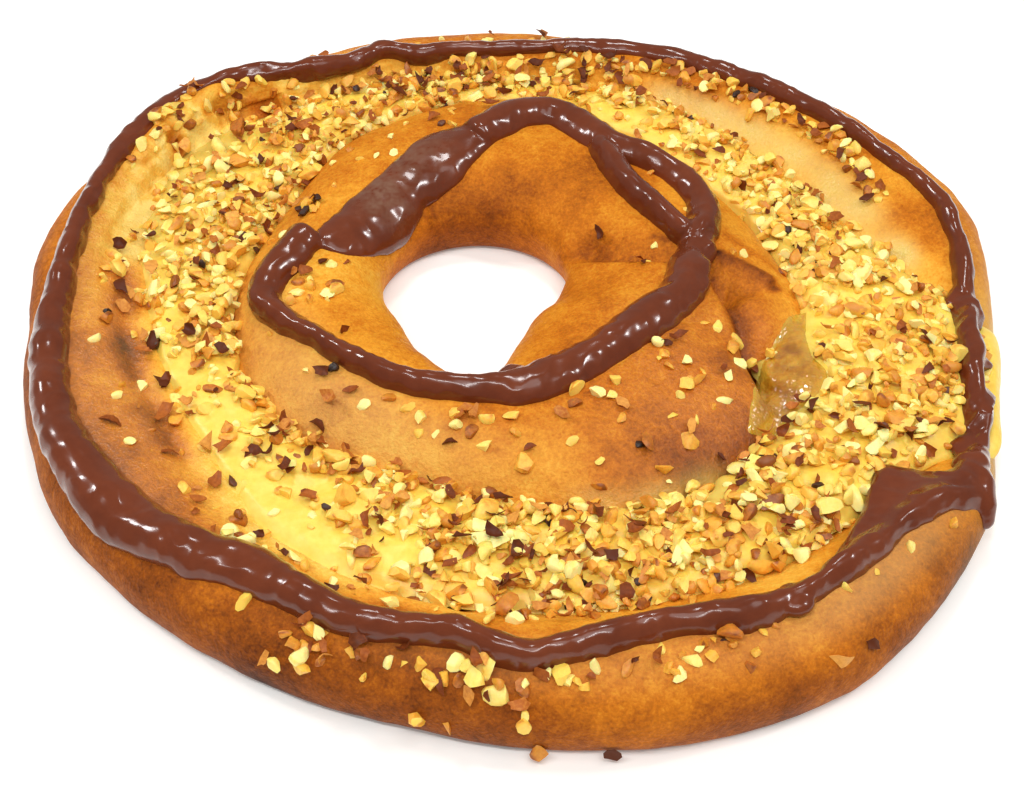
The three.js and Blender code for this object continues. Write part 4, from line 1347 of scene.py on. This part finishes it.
def srgb(red, green, blue):
    """A linear colour from screen values of 0 to 255."""
    def linear(value):
        value /= 255
        return value / 12.92 if value <= 0.04045 else ((value + 0.055) / 1.055) ** 2.4
    return linear(red), linear(green), linear(blue), 1.0


class Shader:
    """A node material, with short calls for the nodes that it needs."""

    def __init__(self, name, **sockets):
        self.material = bpy.data.materials.new(name)
        self.material.use_nodes = True
        self.nodes = self.material.node_tree.nodes
        self.links = self.material.node_tree.links
        self.bsdf = self.nodes["Principled BSDF"]
        for key, value in sockets.items():
            self.bsdf.inputs[key.replace("_", " ")].default_value = value
        self.place = self.nodes.new("ShaderNodeTexCoord").outputs["Object"]

    def add(self, kind, inputs, output=0, **settings):
        node = self.nodes.new(kind)
        for key, value in settings.items():
            setattr(node, key, value)
        for key, value in inputs.items():
            if isinstance(value, bpy.types.NodeSocket):
                self.links.new(value, node.inputs[key])
            else:
                node.inputs[key].default_value = value
        return node.outputs[output]

    def value(self, name, share=None):
        """A value that the mesh has at each point, or a share of it."""
        value = self.add("ShaderNodeAttribute", {}, "Fac", attribute_name=name)
        return value if share is None else self.math("MULTIPLY", value, share)

    def noise(self, size_mm, detail=3.0, rough=0.55):
        inputs = {"Vector": self.place, "Scale": 1 / (size_mm * MM), "Detail": detail, "Roughness": rough}
        return self.add("ShaderNodeTexNoise", inputs, "Fac")

    def math(self, operation, a, b, c=0.0):
        return self.add("ShaderNodeMath", {0: a, 1: b, 2: c}, operation=operation)

    def about(self, value, texture, amount):
        """The value with a texture of 0 to 1 added about its middle."""
        return self.math("ADD", value, self.math("MULTIPLY_ADD", texture, amount, -0.5 * amount))

    def both(self, first, second, share=1.0):
        """The sum of a texture and a share of another."""
        return self.math("MULTIPLY_ADD", second, share, first)

    def ramp(self, value, stops):
        """Colours by value: each stop is a place with red, green and blue on screen."""
        node = self.nodes.new("ShaderNodeValToRGB")
        self.links.new(value, node.inputs["Fac"])
        elements = node.color_ramp.elements
        while len(elements) < len(stops):
            elements.new(0.5)
        for element, (place, *colour) in zip(elements, stops):
            element.position = place
            element.color = srgb(*colour)
        return node.outputs["Color"]

    def tint(self, colour, amount, there):
        """The colour, turned to another one given on screen, as far as the amount says."""
        return self.add("ShaderNodeMix", {0: amount, 6: colour, 7: srgb(*there)}, 2, data_type="RGBA")

    def map(self, value, low, high):
        return self.add("ShaderNodeMapRange", {"Value": value, "To Min": low, "To Max": high})

    def bump(self, height, depth_mm, strength):
        inputs = {"Height": height, "Distance": depth_mm * MM, "Strength": strength}
        self.set("Normal", self.add("ShaderNodeBump", inputs))

    def set(self, socket, value):
        self.links.new(value, self.bsdf.inputs[socket])


def crust_material():
    shader = Shader("crust", Subsurface_Weight=0.08, Subsurface_Scale=0.002)
    fine = shader.noise(size_mm=2.0, detail=4)
    grain = shader.noise(size_mm=0.8, rough=0.6)
    # The browning value also carries the painted shade of the creases, grooves and the pit.
    browned_and_shaded = shader.about(shader.value("browned_and_shaded"), fine, amount=0.26)
    colour = shader.ramp(shader.about(browned_and_shaded, grain, amount=0.32), CRUST_COLOURS)
    # A paler, greyer tint for floury dust with a painted sheen.
    colour = shader.tint(colour, shader.value("dust_and_sheen", share=0.28), DUST_AND_SHEEN_COLOUR)
    shader.set("Base Color", shader.tint(colour, shader.value("wet", share=0.75), WET_CRUST_COLOUR))
    glossy = shader.math("MAXIMUM", shader.value("glossy"), shader.value("wet"))
    shader.set("Roughness", shader.about(shader.map(glossy, low=0.55, high=0.28), fine, amount=0.2))
    shader.set("Specular IOR Level", shader.map(glossy, low=0.10, high=0.6))
    shader.bump(shader.both(fine, grain), depth_mm=0.4, strength=0.9)
    return shader.material


def custard_material():
    shader = Shader("custard", Subsurface_Weight=0.25, Subsurface_Scale=0.003)
    soft = shader.noise(size_mm=9)
    fine = shader.noise(size_mm=2.4, detail=4)
    # A little deeper in tone where nuts cover more of the custard: painted shade between the nuts.
    tone = shader.about(shader.map(shader.value("cover"), low=0.36, high=0.48), soft, amount=0.5)
    colour = shader.ramp(shader.about(tone, fine, amount=0.4), CUSTARD_COLOURS)
    colour = shader.tint(colour, shader.value("thin", share=0.35), THIN_CUSTARD_COLOUR)
    shader.set("Base Color", shader.tint(colour, shader.value("wet", share=0.7), WET_CUSTARD_COLOUR))
    rough = shader.map(shader.value("wet"), low=0.42, high=0.12)
    shader.set("Roughness", shader.about(rough, fine, amount=0.15))
    shader.bump(shader.both(soft, fine, share=0.5), depth_mm=0.5, strength=0.5)
    return shader.material


def jelly_material():
    shader = Shader("jelly", Roughness=0.10, Subsurface_Weight=0.4, Subsurface_Scale=0.004, Coat_Weight=1.0)
    colour = shader.ramp(shader.noise(size_mm=5), JELLY_COLOURS)
    shader.set("Base Color", shader.tint(colour, shader.value("fade"), JELLY_EDGE_COLOUR))
    shader.bump(shader.noise(size_mm=1.4, detail=1), depth_mm=0.45, strength=1.0)
    return shader.material


def icing_material():
    shader = Shader("icing", Coat_Weight=0.75, Coat_Roughness=0.15, Coat_IOR=1.42, Specular_IOR_Level=0.15)
    soft = shader.noise(size_mm=14)
    fine = shader.noise(size_mm=1.6)
    colour = shader.ramp(shader.about(soft, fine, amount=0.3), ICING_COLOURS)
    bloom_and_sheen = shader.value("bloom_and_sheen")
    # The bloom tint is partly real bloom and partly a painted sheen.
    shader.set("Base Color", shader.tint(colour, bloom_and_sheen, BLOOM_AND_SHEEN_COLOUR))
    rough = shader.map(bloom_and_sheen, low=0.22, high=0.62)
    shader.set("Roughness", shader.about(rough, fine, amount=0.10))
    shader.bump(shader.both(soft, fine, share=0.15), depth_mm=0.4, strength=0.25)
    return shader.material


def kernel_material(name, stops):
    shader = Shader(name, Subsurface_Weight=0.3, Subsurface_Scale=0.0015)
    fine = shader.noise(size_mm=1.2)
    tone = shader.both(shader.value("tone"), shader.value("skin"), share=0.45)
    shader.set("Base Color", shader.ramp(shader.about(tone, fine, amount=0.35), stops))
    shader.set("Roughness", shader.map(fine, low=0.38, high=0.6))
    shader.bump(fine, depth_mm=0.25, strength=0.5)
    return shader.material


def flake_material():
    shader = Shader("nut_skin", Specular_IOR_Level=0.2)
    fine = shader.noise(size_mm=0.9)
    tone = shader.about(shader.value("tone"), fine, amount=0.5)
    shader.set("Base Color", shader.ramp(tone, FLAKE_COLOURS))
    shader.set("Roughness", shader.map(fine, low=0.35, high=0.6))
    shader.bump(fine, depth_mm=0.15, strength=0.5)
    return shader.material


def floor_material():
    shader = Shader("floor", Roughness=0.75, Emission_Color=(1, 1, 1, 1), Emission_Strength=0.16)
    shader.set("Base Color", shader.ramp(shader.noise(size_mm=60, detail=2), FLOOR_COLOURS))
    return shader.material


# Camera, light and floor

def facing(direction):
    """Rotation of a camera or a lamp that looks along a direction."""
    return direction.to_track_quat("-Z", "Y").to_euler()


def add_camera():
    data = bpy.data.cameras.new("camera")
    data.sensor_width = SENSOR_WIDTH
    data.lens = FOCAL_PIXELS * SENSOR_WIDTH / IMAGE_WIDTH
    camera = linked("camera", data)
    camera.location = Vector(CAMERA_AT) * MM
    camera.rotation_euler = facing(Vector(CAMERA_LOOKS_AT) - Vector(CAMERA_AT))
    bpy.context.scene.camera = camera


def add_lamp(name, place, width, watts, depth=None):
    """A round lamp, or a long one where a depth is given, that points at the middle of the part."""
    data = bpy.data.lights.new(name, "AREA")
    data.shape = "RECTANGLE" if depth else "DISK"
    data.size = width
    data.size_y = depth or width
    data.energy = watts
    lamp = linked(name, data)
    lamp.location = place
    lamp.rotation_euler = facing(-Vector(place))


def add_sky():
    world = bpy.data.worlds.new("studio")
    world.use_nodes = True
    background = world.node_tree.nodes["Background"]
    background.inputs["Color"].default_value = SKY_COLOUR
    background.inputs["Strength"].default_value = SKY_STRENGTH
    bpy.context.scene.world = world
    bpy.context.scene.view_settings.view_transform = "Standard"


def add_floor():
    corners = [(x * FLOOR_REACH, y * FLOOR_REACH, 0) for x, y in ((-1, -1), (1, -1), (1, 1), (-1, 1))]
    mesh = new_mesh("floor", corners, [(0, 1, 2, 3)])
    mesh.materials.append(floor_material())
    floor = linked("floor", mesh)
    floor.location.z = -FLOOR_CLEAR


# The pieces

add_camera()
for lamp in LAMPS:
    add_lamp(*lamp)
add_sky()
add_floor()
ground = add_ring()
icing = add_icing(ground)
add_jelly(ground)
add_nuts(ground, icing)
